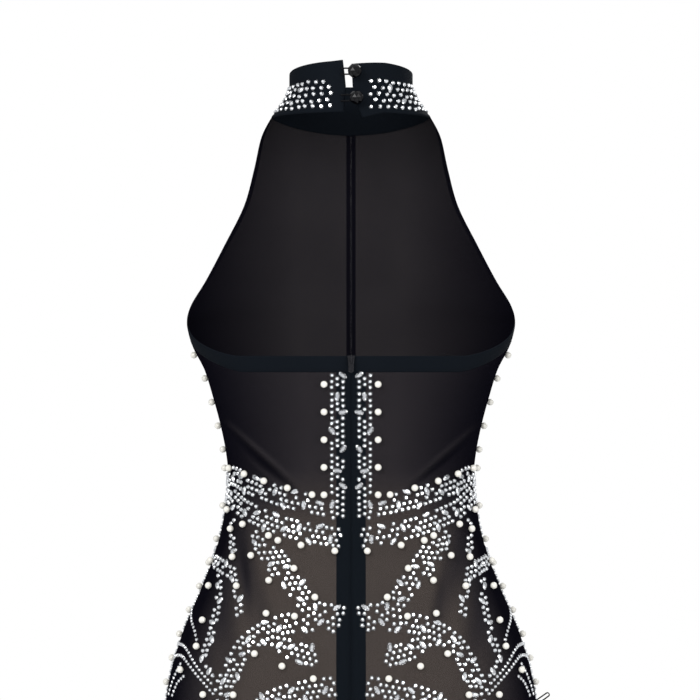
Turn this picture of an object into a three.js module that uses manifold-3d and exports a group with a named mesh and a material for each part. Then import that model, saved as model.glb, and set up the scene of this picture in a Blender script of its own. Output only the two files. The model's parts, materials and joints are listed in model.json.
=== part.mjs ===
// A halter romper of sheer stretch mesh: high collar, open back, centre-back zip and short legs.
// Millimetres, +Z up. The origin is the middle of the collar, the front faces -Y,
// and the wearer's left side is +X.
import * as THREE from 'three';
import { mergeVertices } from 'three/addons/utils/BufferGeometryUtils.js';
import Module from 'manifold-3d';

const wasm = await Module();
wasm.setup();

// Driving sizes of the cloth
const meshWall = 1.4;
const collarWall = 2.2;
const stripWall = 1;
const seamGap = 0.3;
const halfGap = seamGap / 2;
const quarterTurn = Math.PI / 2;

// Driving heights, all measured from the middle of the collar
const bustZ = -204;
const sideTopZ = -207.5;
const backEdgeZ = -234;
const evenZ = -304;
const seatZ = -545;
const crotchZ = -612;
const hemZ = -692;
const sideSeamY = 15;

// The garment's outline at each height: half width, and depth before and behind the side seams
const sections = [
  { z: -180, halfWidth: 147, front: 108, back: 90, squareness: 2.1 },
  { z: -204, halfWidth: 145, front: 110, back: 88, squareness: 2.15 },
  { z: -224, halfWidth: 140, front: 110, back: 86, squareness: 2.2 },
  { z: -246, halfWidth: 129, front: 107, back: 84, squareness: 2.2 },
  { z: -270, halfWidth: 121.5, front: 101, back: 81, squareness: 2.2 },
  { z: -294, halfWidth: 115, front: 94, back: 79, squareness: 2.2 },
  { z: -319, halfWidth: 110, front: 88, back: 77, squareness: 2.2 },
  { z: -343, halfWidth: 108, front: 85, back: 77, squareness: 2.2 },
  { z: -371, halfWidth: 111, front: 86, back: 80, squareness: 2.2 },
  { z: -403, halfWidth: 118.5, front: 91, back: 86, squareness: 2.25 },
  { z: -442, halfWidth: 133, front: 96, back: 96, squareness: 2.3 },
  { z: -477, halfWidth: 148, front: 99, back: 106, squareness: 2.35 },
  { z: -515, halfWidth: 159, front: 101, back: 114, squareness: 2.35 },
  { z: -545, halfWidth: 163.5, front: 101, back: 118, squareness: 2.3 },
  { z: -580, halfWidth: 166, front: 99, back: 118, squareness: 2.25 },
  { z: -612, halfWidth: 165.5, front: 96, back: 112, squareness: 2.2 },
  { z: -650, halfWidth: 162.5, front: 92, back: 102, squareness: 2.1 },
  { z: -692, halfWidth: 158, front: 88, back: 96, squareness: 2.1 },
];

// The chest above the bust, where each front ends at a cut edge before the shoulder
const chestSections = [
  { centreZ: -52, edgeZ: -40, halfWidth: 86, front: 70, middleY: 2, edgeTurn: 68 },
  { centreZ: -76, edgeZ: -68, halfWidth: 110, front: 79, middleY: 5, edgeTurn: 52 },
  { centreZ: -104, edgeZ: -100, halfWidth: 131, front: 90, middleY: 8, edgeTurn: 47 },
  { centreZ: -136, edgeZ: -134, halfWidth: 145, front: 101, middleY: 11, edgeTurn: 51 },
  { centreZ: -166, edgeZ: -166, halfWidth: 149, front: 108, middleY: 13, edgeTurn: 60 },
  { centreZ: -186, edgeZ: -190, halfWidth: 148, front: 110, middleY: 14.5, edgeTurn: 74 },
];

// Soft troughs pulled into the stretched cloth, the same on both sides of the body
const folds = [
  { face: 'back', fromX: 112, fromZ: -300, toX: 45, toZ: -352, halfWidth: 15, depth: 2.6 },
  { face: 'back', fromX: 108, fromZ: -338, toX: 62, toZ: -356, halfWidth: 12, depth: 1.8 },
  { face: 'back', fromX: 104, fromZ: -372, toX: 66, toZ: -486, halfWidth: 15, depth: 2.2 },
  { face: 'back', fromX: 122, fromZ: -410, toX: 96, toZ: -520, halfWidth: 16, depth: 1.8 },
  { face: 'front', fromX: 116, fromZ: -286, toX: 52, toZ: -344, halfWidth: 15, depth: 2.4 },
  { face: 'front', fromX: 104, fromZ: -368, toX: 60, toZ: -462, halfWidth: 16, depth: 2 },
];

// How finely each panel is divided
const panelColumns = 14;
const chestRows = 9;
const upperRows = 6;
const chestEndDrop = 20;
const torsoRows = 14;
const legRows = 6;
const crotchShares = [0.3, 0.55, 0.75, 0.88, 0.96, 1];

// The legs: how far the inseam stands from the middle at the hem, a leg's share of the depth,
// how far from the centre seam the seat's curve gives way to an even one, and how full it stays
const inseamAtHem = 9;
const legDepthShare = 0.87;
const evenFromTurn = 0.5;
const seatFullness = 0.3;

const mix = (from, to, share) => from + (to - from) * share;
const clamp01 = (value) => Math.min(1, Math.max(0, value));

// A smooth curve through four values, at a share of the way from the second to the third
function throughFour(before, from, to, after, share) {
  const squared = share * share;
  const cubed = squared * share;
  const bend = 2 * before - 5 * from + 4 * to - after;
  const twist = 3 * (from - to) + after - before;
  return from + 0.5 * ((to - before) * share + bend * squared + twist * cubed);
}

// One row of a table at any height, on a smooth curve through its neighbours
function sectionAt(z) {
  const last = sections.length - 1;
  let index = 0;
  while (index < last - 1 && sections[index + 1].z > z) index += 1;
  const from = sections[index];
  const to = sections[index + 1];
  const before = sections[Math.max(0, index - 1)];
  const after = sections[Math.min(last, index + 2)];
  const share = clamp01((z - from.z) / (to.z - from.z));
  const section = {};
  for (const name of ['halfWidth', 'front', 'back', 'squareness']) {
    section[name] = throughFour(before[name], from[name], to[name], after[name], share);
  }
  return section;
}

// How deep the troughs pull the cloth in at a place on one face of the body
function foldDepth(face, x, z) {
  let depth = 0;
  for (const fold of folds) {
    if (fold.face !== face) continue;
    const runX = fold.toX - fold.fromX;
    const runZ = fold.toZ - fold.fromZ;
    const length = Math.hypot(runX, runZ);
    const along = ((x - fold.fromX) * runX + (z - fold.fromZ) * runZ) / (length * length);
    const across = ((x - fold.fromX) * runZ - (z - fold.fromZ) * runX) / length;
    if (along <= 0 || along >= 1 || Math.abs(across) >= fold.halfWidth) continue;
    const profile = Math.cos((quarterTurn * across) / fold.halfWidth) ** 2;
    depth += fold.depth * profile * Math.sin(Math.PI * along);
  }
  return depth;
}

// A point of the body on the wearer's left. Turn runs from 0 at the centre seam to 1 at the side.
// From the seat down, the quarter ring closes under the body and becomes half of a leg's ring.
function bodyPoint(face, turn, z) {
  const section = sectionAt(z);
  const power = 2 / section.squareness;
  const depth = section[face];
  const angle = turn * quarterTurn;
  const sag = clamp01((seatZ - z) / (seatZ - crotchZ));
  const atSeam = 1 - Math.sqrt(1 - sag * sag);
  const awayFromSeam = sag * sag * (3 - 2 * sag);
  const legShare = mix(atSeam, awayFromSeam, clamp01(turn / evenFromTurn));
  const inseam = inseamAtHem * clamp01((crotchZ - z) / (crotchZ - hemZ));
  const legHalf = (section.halfWidth - inseam) / 2;
  const torsoX = section.halfWidth * Math.sin(angle) ** power;
  const torsoDepth = depth * Math.cos(angle) ** power;
  const legX = inseam + legHalf - legHalf * Math.cos(2 * angle);
  const legDepth = depth * legDepthShare * Math.abs(Math.sin(2 * angle)) ** power;
  const x = mix(torsoX, legX, legShare);
  const away = face === 'front' ? -1 : 1;
  const trough = foldDepth(face, x, z);
  const fullness = 1 + seatFullness * legShare * (1 - legShare);
  const fromSeam = mix(torsoDepth, legDepth, legShare) * fullness - trough;
  const seamY = sideSeamY + away * halfGap;
  return new THREE.Vector3(Math.max(x, halfGap), seamY + away * Math.max(fromSeam, 0), z);
}

// The collar, a band round the neck that flares over the shoulders
const collar = {
  halfWidth: 54.5,
  halfDepth: 57,
  flare: 16,
  flareStart: 0.3,
  flarePower: 1.7,
  frontFlareShare: 0.5,
  backFlareShare: 0.12,
  sideTopZ: 15,
  topRise: 8.5,
  bottomZ: -23,
  backBottomRise: 1.5,
  frontBottomDrop: 13,
  frontDropPower: 1.5,
  columns: 44,
  rows: 5,
};

// The two ends at the centre back: where each edge stands at the top, middle and bottom
const collarEnds = {
  left: [
    { down: 0, x: 7.5 },
    { down: 0.5, x: 4.7 },
    { down: 1, x: 6.4 },
  ],
  right: [
    { down: 0, x: -0.4 },
    { down: 0.72, x: -2 },
    { down: 1, x: -9.9 },
  ],
};
const flippedCorner = { start: 0.8, reach: 18, lift: 4 };

// Angle runs from 0 at the front to half a turn at the back; down runs from 0 at the top edge to 1
function collarPoint(angle, down) {
  const forward = Math.cos(angle);
  const sideways = Math.sin(angle);
  const endShare = forward > 0 ? collar.frontFlareShare : collar.backFlareShare;
  const flareShare = mix(endShare, 1, sideways * sideways);
  const flareDown = clamp01((down - collar.flareStart) / (1 - collar.flareStart));
  const flare = collar.flare * flareShare * flareDown ** collar.flarePower;
  const top = collar.sideTopZ - collar.topRise * forward;
  const drop = collar.frontBottomDrop * Math.max(0, forward) ** collar.frontDropPower;
  const bottom = collar.bottomZ + collar.backBottomRise * Math.max(0, -forward) - drop;
  return new THREE.Vector3(
    (collar.halfWidth + flare) * sideways,
    -(collar.halfDepth + flare) * forward,
    mix(top, bottom, down),
  );
}

function endEdge(rows, down) {
  const from = down < rows[1].down ? rows[0] : rows[1];
  const to = down < rows[1].down ? rows[1] : rows[2];
  return mix(from.x, to.x, (down - from.down) / (to.down - from.down));
}

// The outward normal of a grid at one of its points, from the points around it
function gridNormal(points, row, column) {
  const lastRow = points.length - 1;
  const lastColumn = points[0].length - 1;
  const across = new THREE.Vector3().subVectors(
    points[row][Math.min(column + 1, lastColumn)],
    points[row][Math.max(column - 1, 0)],
  );
  const down = new THREE.Vector3().subVectors(
    points[Math.min(row + 1, lastRow)][column],
    points[Math.max(row - 1, 0)][column],
  );
  return down.cross(across).normalize();
}

// Each grid point with the normal that the wall's thickness follows. The sign turns it outward.
// Pin changes a normal where the wall has to stay flat in a seam's plane.
function withNormals(points, sign, pin) {
  return points.map((line, row) => line.map((point, column) => {
    const normal = gridNormal(points, row, column).multiplyScalar(sign);
    pin(normal, row, column);
    return { point, normal: normal.normalize() };
  }));
}

// A closed wall between two depths under a grid's surface
function wallGeometry(grid, outerDepth, innerDepth) {
  const rows = grid.length;
  const columns = grid[0].length;
  const positions = [];
  for (const depth of [outerDepth, innerDepth]) {
    for (const line of grid) {
      for (const { point, normal } of line) {
        positions.push(...point.clone().addScaledVector(normal, -depth).toArray());
      }
    }
  }
  const index = [];
  const outer = (row, column) => row * columns + column;
  const inner = (row, column) => rows * columns + outer(row, column);
  const quad = (a, b, c, d) => index.push(a, b, c, a, c, d);
  for (let row = 0; row < rows - 1; row += 1) {
    for (let column = 0; column < columns - 1; column += 1) {
      quad(outer(row, column), outer(row + 1, column),
        outer(row + 1, column + 1), outer(row, column + 1));
      quad(inner(row, column), inner(row, column + 1),
        inner(row + 1, column + 1), inner(row + 1, column));
    }
    const last = columns - 1;
    quad(outer(row, 0), inner(row, 0), inner(row + 1, 0), outer(row + 1, 0));
    quad(outer(row, last), outer(row + 1, last), inner(row + 1, last), inner(row, last));
  }
  for (let column = 0; column < columns - 1; column += 1) {
    const last = rows - 1;
    quad(outer(0, column), outer(0, column + 1), inner(0, column + 1), inner(0, column));
    quad(outer(last, column), inner(last, column),
      inner(last, column + 1), outer(last, column + 1));
  }
  const geometry = new THREE.BufferGeometry();
  geometry.setAttribute('position', new THREE.Float32BufferAttribute(positions, 3));
  geometry.setIndex(index);
  return facingOut(geometry);
}

function signedVolume(geometry) {
  const position = geometry.getAttribute('position');
  const index = geometry.getIndex();
  const corners = [new THREE.Vector3(), new THREE.Vector3(), new THREE.Vector3()];
  let volume = 0;
  for (let start = 0; start < index.count; start += 3) {
    corners.forEach((corner, step) => corner.fromBufferAttribute(position, index.getX(start + step)));
    volume += corners[0].dot(corners[1].clone().cross(corners[2])) / 6;
  }
  return volume;
}

function facingOut(geometry) {
  if (signedVolume(geometry) < 0) {
    const index = geometry.getIndex();
    for (let start = 0; start < index.count; start += 3) {
      const second = index.getX(start + 1);
      index.setX(start + 1, index.getX(start + 2));
      index.setX(start + 2, second);
    }
  }
  return geometry;
}

// The same piece for the wearer's other side
function mirrored(geometry) {
  const copy = geometry.clone();
  copy.scale(-1, 1, 1);
  return facingOut(copy);
}

const material = (color, roughness, metalness) => (
  new THREE.MeshStandardMaterial({ color, roughness, metalness })
);
const sheerMesh = material(0x2a2522, 0.7, 0);
const opaqueJersey = material(0x12131a, 0.62, 0);
const blackSatin = material(0x0b0b10, 0.4, 0);
const blackGlass = material(0x050507, 0.08, 0);
const blackMetal = material(0x1a1a1e, 0.3, 0.85);

const group = new THREE.Group();

function addPiece(name, geometry, finish) {
  const mesh = new THREE.Mesh(geometry, finish);
  mesh.name = name;
  group.add(mesh);
  return mesh;
}

// Rows of a panel below its shaped top: even by the waist, close together round the crotch
function lowerHeights() {
  const heights = [];
  for (let row = 1; row <= torsoRows; row += 1) heights.push(mix(evenZ, seatZ, row / torsoRows));
  for (const share of crotchShares) heights.push(mix(seatZ, crotchZ, share));
  for (let row = 1; row <= legRows; row += 1) heights.push(mix(crotchZ, hemZ, row / legRows));
  return heights;
}

// Keeps a panel's edges in the planes of the centre, side and inside-leg seams
function seamPin(points) {
  const lastColumn = points[0].length - 1;
  return (normal, row, column) => {
    const { z } = points[row][column];
    if (column === 0) {
      if (z < crotchZ) normal.y = 0;
      else normal.x = 0;
      if (z === crotchZ) normal.set(0, 0, -1);
    }
    if (column === lastColumn && z <= sideTopZ) normal.y = 0;
    if (row === 0) normal.z = 0;
  };
}

// The share of the quarter turn at which a section reaches a distance from the centre seam
function turnAtX(x, z) {
  const section = sectionAt(z);
  return Math.asin((x / section.halfWidth) ** (section.squareness / 2)) / quarterTurn;
}

// The fronts: from the collar's edge over the chest, then down to the hem
function frontPoints() {
  const turns = Array.from({ length: panelColumns + 1 }, (_, column) => column / panelColumns);
  const startZ = (turn) => mix(bustZ, sideTopZ, turn * turn);
  const controls = [
    (turn) => {
      const edge = collarPoint(turn * quarterTurn, 1);
      const inset = (collarWall - meshWall) / 2;
      edge.x = Math.max(halfGap, edge.x - inset * Math.sin(turn * quarterTurn));
      edge.y += inset * Math.cos(turn * quarterTurn);
      edge.z -= seamGap;
      return edge;
    },
    ...chestSections.map((section) => (turn) => {
      const angle = (turn * section.edgeTurn * Math.PI) / 180;
      return new THREE.Vector3(
        Math.max(halfGap, section.halfWidth * Math.sin(angle)),
        section.middleY - section.front * Math.cos(angle),
        mix(section.centreZ, section.edgeZ, turn * turn),
      );
    }),
    (turn) => bodyPoint('front', turn, startZ(turn)),
    (turn) => bodyPoint('front', turn, startZ(turn) - chestEndDrop),
  ];
  const spans = controls.length - 2;
  const points = [];
  for (let row = 0; row < chestRows; row += 1) {
    const place = (row / chestRows) * spans;
    const span = Math.min(spans - 1, Math.floor(place));
    points.push(turns.map((turn) => {
      const near = [Math.max(0, span - 1), span, span + 1, span + 2];
      const four = near.map((which) => controls[which](turn));
      const blend = (axis) => throughFour(...four.map((point) => point[axis]), place - span);
      return new THREE.Vector3(Math.max(halfGap, blend('x')), blend('y'), blend('z'));
    }));
  }
  for (let row = 0; row <= upperRows; row += 1) {
    points.push(turns.map((turn) => (
      bodyPoint('front', turn, mix(startZ(turn), evenZ, row / upperRows))
    )));
  }
  for (const z of lowerHeights()) points.push(turns.map((turn) => bodyPoint('front', turn, z)));
  return points;
}

// The backs: a straight top edge that rises under the arm, and an opaque band along it
const backBand = { height: 14, riseStart: 0.5, risePower: 1.4 };
const centreStrip = { halfWidth: 12.5 };

function backEdgeAt(turn) {
  const rise = clamp01((turn - backBand.riseStart) / (1 - backBand.riseStart));
  return mix(backEdgeZ, sideTopZ, rise ** backBand.risePower);
}

// A row across the back, whose second point stands at the centre strip's edge
function backRow(heightAt) {
  const row = [bodyPoint('back', 0, heightAt(0))];
  for (let column = 0; column < panelColumns; column += 1) {
    const even = column / (panelColumns - 1);
    const start = turnAtX(centreStrip.halfWidth, heightAt(0));
    const turn = mix(start, 1, even);
    row.push(bodyPoint('back', turn, heightAt(turn)));
  }
  return row;
}

function backBandPoints() {
  const top = (turn) => backEdgeAt(turn);
  const middle = (turn) => backEdgeAt(turn) - backBand.height / 2;
  const bottom = (turn) => backEdgeAt(turn) - backBand.height;
  return [top, middle, bottom].map(backRow);
}

function backPoints() {
  const points = [];
  for (let row = 0; row <= upperRows; row += 1) {
    const start = (turn) => backEdgeAt(turn) - backBand.height - seamGap;
    points.push(backRow((turn) => mix(start(turn), evenZ, row / upperRows)));
  }
  for (const z of lowerHeights()) points.push(backRow(() => z));
  return points;
}

const frontShape = frontPoints();
const backShape = backPoints();
const bandShape = backBandPoints();
const frontGrid = withNormals(frontShape, 1, seamPin(frontShape));
const backGrid = withNormals(backShape, -1, seamPin(backShape));
const bandGrid = withNormals(bandShape, -1, (normal, row, column) => {
  seamPin(bandShape)(normal, row, column);
  normal.z = 0;
});

// The opaque strip behind the centre-back seam, made from the points of the cloth it backs
const stripGrid = [...bandGrid.slice(1), ...backGrid.slice(1)]
  .filter(([{ point }]) => point.z >= seatZ)
  .map((line) => line.slice(0, 2));
const stripDepth = meshWall + seamGap;

const pairs = [
  ['front', wallGeometry(frontGrid, 0, meshWall), sheerMesh],
  ['back', wallGeometry(backGrid, 0, meshWall), sheerMesh],
  ['back_edge', wallGeometry(bandGrid, 0, meshWall), opaqueJersey],
  ['centre_strip', wallGeometry(stripGrid, stripDepth, stripDepth + stripWall), opaqueJersey],
];
for (const [name, geometry, finish] of pairs) {
  addPiece(`${name}_left`, geometry, finish);
  addPiece(`${name}_right`, mirrored(geometry), finish);
}

// The collar, from its left end round the front to its right end
function collarShape() {
  const points = [];
  for (let row = 0; row <= collar.rows; row += 1) {
    const down = row / collar.rows;
    const leftX = endEdge(collarEnds.left, down);
    const rightX = endEdge(collarEnds.right, down);
    const from = Math.PI - Math.asin(leftX / collar.halfWidth);
    const to = -Math.PI - Math.asin(rightX / collar.halfWidth);
    const line = [];
    for (let column = 0; column <= collar.columns; column += 1) {
      const point = collarPoint(mix(from, to, column / collar.columns), down);
      const behind = column > collar.columns / 2 && point.y > 0;
      const near = clamp01(1 - (rightX - point.x) / flippedCorner.reach);
      const low = clamp01((down - flippedCorner.start) / (1 - flippedCorner.start));
      if (behind) point.y += flippedCorner.lift * near * low;
      line.push(point);
    }
    points.push(line);
  }
  return points;
}

const collarGrid = withNormals(collarShape(), -1, (normal, row) => {
  if (row === 0 || row === collar.rows) normal.z = 0;
});
addPiece('collar_band', wallGeometry(collarGrid, 0, collarWall), opaqueJersey);

// The collar's outer face at the back, at a distance from the middle and a height
function collarBackY(x, z) {
  const angle = Math.PI - Math.asin(x / collar.halfWidth);
  const top = collarPoint(angle, 0).z;
  const bottom = collarPoint(angle, 1).z;
  return collarPoint(angle, (top - z) / (top - bottom)).y;
}

function asSolid(geometry) {
  geometry.deleteAttribute('normal');
  geometry.deleteAttribute('uv');
  const merged = mergeVertices(geometry);
  return new wasm.Manifold(new wasm.Mesh({
    numProp: 3,
    vertProperties: new Float32Array(merged.getAttribute('position').array),
    triVerts: new Uint32Array(merged.getIndex().array),
  }));
}

function fromSolid(solid) {
  const { vertProperties, triVerts } = solid.getMesh();
  const geometry = new THREE.BufferGeometry();
  geometry.setAttribute('position', new THREE.Float32BufferAttribute(vertProperties, 3));
  geometry.setIndex(Array.from(triVerts));
  return geometry;
}

// Two faceted ball buttons on short shanks, sewn to the right end, and their elastic loops
const ball = { radius: 6, facets: 1, standOff: 7.3, shankRadius: 1.2, shankSides: 10 };
const loop = { radius: 0.7, sides: 6, steps: 30, bendSteps: 4, rootX: 13, spread: 2.6, clearance: 0.35 };
const buttons = [
  { place: 'top', x: -3.2, z: 13.9 },
  { place: 'low', x: -4.8, z: -9.3 },
];

function buttonGeometry() {
  const round = new THREE.IcosahedronGeometry(ball.radius, ball.facets);
  round.translate(0, ball.standOff, 0);
  const { shankRadius, shankSides } = ball;
  const shankLength = ball.standOff - ball.radius / 2 - seamGap;
  const shank = new THREE.CylinderGeometry(shankRadius, shankRadius, shankLength, shankSides);
  shank.translate(0, seamGap + shankLength / 2, 0);
  return fromSolid(asSolid(round).add(asSolid(shank)));
}

function loopGeometry({ x, z }) {
  const turnRadius = ball.shankRadius + loop.clearance + loop.radius;
  const lift = seamGap + loop.radius;
  const flat = [[loop.rootX, loop.spread], [(loop.rootX + x) / 2, loop.spread]];
  const bend = Array.from({ length: loop.bendSteps + 1 }, (_, step) => {
    const angle = quarterTurn + (Math.PI * step) / loop.bendSteps;
    return [x + turnRadius * Math.cos(angle), turnRadius * Math.sin(angle)];
  });
  const back = flat.map(([alongX, up]) => [alongX, -up]).reverse();
  const points = [...flat, ...bend, ...back].map(([alongX, up]) => (
    new THREE.Vector3(alongX, collarBackY(alongX, z + up) + lift, z + up)
  ));
  const section = new THREE.Shape();
  for (let side = 0; side < loop.sides; side += 1) {
    const angle = (2 * Math.PI * side) / loop.sides;
    const corner = [loop.radius * Math.cos(angle), loop.radius * Math.sin(angle)];
    if (side === 0) section.moveTo(...corner);
    else section.lineTo(...corner);
  }
  section.closePath();
  const extrudePath = new THREE.CatmullRomCurve3(points);
  const tube = new THREE.ExtrudeGeometry(section, { steps: loop.steps, extrudePath });
  return fromSolid(asSolid(tube));
}

for (const button of buttons) {
  const ballPiece = addPiece(`collar_button_${button.place}`, buttonGeometry(), blackGlass);
  ballPiece.position.set(button.x, collarBackY(button.x, button.z), button.z);
  addPiece(`button_loop_${button.place}`, loopGeometry(button), blackSatin);
}

// The zip's slider with its bail, and the pull tab whose eye hangs on the bail
const slider = { topWidth: 6.4, lowWidth: 4.6, above: 3.5, below: 5, thickness: 2.6 };
const bail = { width: 1.2, wire: 1.1, room: 2, above: 1, below: 1.5, root: 0.4 };
const pull = {
  thickness: 1, bar: 0.5, eyeHalf: 1.1, eyeLow: 4.2, halfWidth: 2.3, length: 11.5, roundSteps: 8,
};
const pullDrop = 3;
const pullAxisZ = backEdgeZ - pullDrop;
const sliderY = bodyPoint('back', 0, pullAxisZ).y + seamGap;

function outlineSolid(corners, depth) {
  const outline = new THREE.Shape(corners.map(([x, y]) => new THREE.Vector2(x, y)));
  return new THREE.ExtrudeGeometry(outline, { depth, bevelEnabled: false });
}

function sliderGeometry() {
  const body = outlineSolid([
    [-slider.topWidth / 2, slider.above],
    [-slider.lowWidth / 2, -slider.below],
    [slider.lowWidth / 2, -slider.below],
    [slider.topWidth / 2, slider.above],
  ], slider.thickness);
  body.rotateX(quarterTurn).translate(0, slider.thickness, 0);
  const root = slider.thickness - bail.root;
  const inside = slider.thickness + bail.room;
  const outside = inside + bail.wire;
  const arch = outlineSolid([
    [root, bail.above],
    [inside, bail.above],
    [inside, -bail.below],
    [root, -bail.below],
    [root, -bail.below - bail.wire],
    [outside, -bail.below - bail.wire],
    [outside, bail.above + bail.wire],
    [root, bail.above + bail.wire],
  ], bail.width);
  arch.rotateX(quarterTurn).rotateZ(quarterTurn).translate(-bail.width / 2, 0, 0);
  return fromSolid(asSolid(body).add(asSolid(arch)));
}

function pullGeometry() {
  const outline = new THREE.Shape();
  const roundFrom = pull.length - pull.halfWidth;
  outline.moveTo(-pull.halfWidth, pull.bar);
  outline.lineTo(-pull.halfWidth, -roundFrom);
  outline.absarc(0, -roundFrom, pull.halfWidth, Math.PI, 2 * Math.PI, false);
  outline.lineTo(pull.halfWidth, pull.bar);
  outline.closePath();
  const eye = new THREE.Path();
  eye.moveTo(-pull.eyeHalf, -pull.bar);
  eye.lineTo(-pull.eyeHalf, -pull.eyeLow);
  eye.lineTo(pull.eyeHalf, -pull.eyeLow);
  eye.lineTo(pull.eyeHalf, -pull.bar);
  eye.closePath();
  outline.holes.push(eye);
  const tab = new THREE.ExtrudeGeometry(outline, {
    depth: pull.thickness, bevelEnabled: false, curveSegments: pull.roundSteps,
  });
  tab.rotateX(quarterTurn).translate(0, pull.thickness / 2, 0);
  return fromSolid(asSolid(tab));
}

const zip = new THREE.Group();
zip.position.set(0, sliderY, pullAxisZ);
group.add(zip);
const sliderPiece = new THREE.Mesh(sliderGeometry(), blackMetal);
sliderPiece.name = 'zip_slider';
const pullPiece = new THREE.Mesh(pullGeometry(), blackMetal);
pullPiece.name = 'zip_pull';
pullPiece.position.y = slider.thickness + bail.room / 2;
zip.add(sliderPiece, pullPiece);

// A short folded satin loop that stands out from the right side seam at the hip
const hipLoop = { rootZ: -539, thickness: 4, depth: 5, length: 12, rise: 0.62, roundSteps: 6 };

function hipLoopGeometry() {
  const { thickness, length, rise, rootZ } = hipLoop;
  const sideAt = (z) => sectionAt(z).halfWidth + seamGap;
  const along = new THREE.Vector2(Math.cos(rise), Math.sin(rise));
  const half = thickness / 2;
  const lowZ = rootZ - half / along.x;
  const highZ = rootZ + half / along.x;
  const end = new THREE.Vector2(sideAt(rootZ), rootZ).addScaledVector(along, length);
  const outline = new THREE.Shape();
  outline.moveTo(sideAt(lowZ), lowZ);
  outline.absarc(end.x, end.y, half, rise - quarterTurn, rise + quarterTurn, false);
  outline.lineTo(sideAt(highZ), highZ);
  outline.closePath();
  const solid = new THREE.ExtrudeGeometry(outline, {
    depth: hipLoop.depth, bevelEnabled: false, curveSegments: hipLoop.roundSteps,
  });
  solid.rotateX(quarterTurn).translate(0, sideSeamY + hipLoop.depth / 2, 0);
  return fromSolid(asSolid(solid));
}

addPiece('hip_loop', mirrored(hipLoopGeometry()), blackSatin);

export default group;
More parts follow.
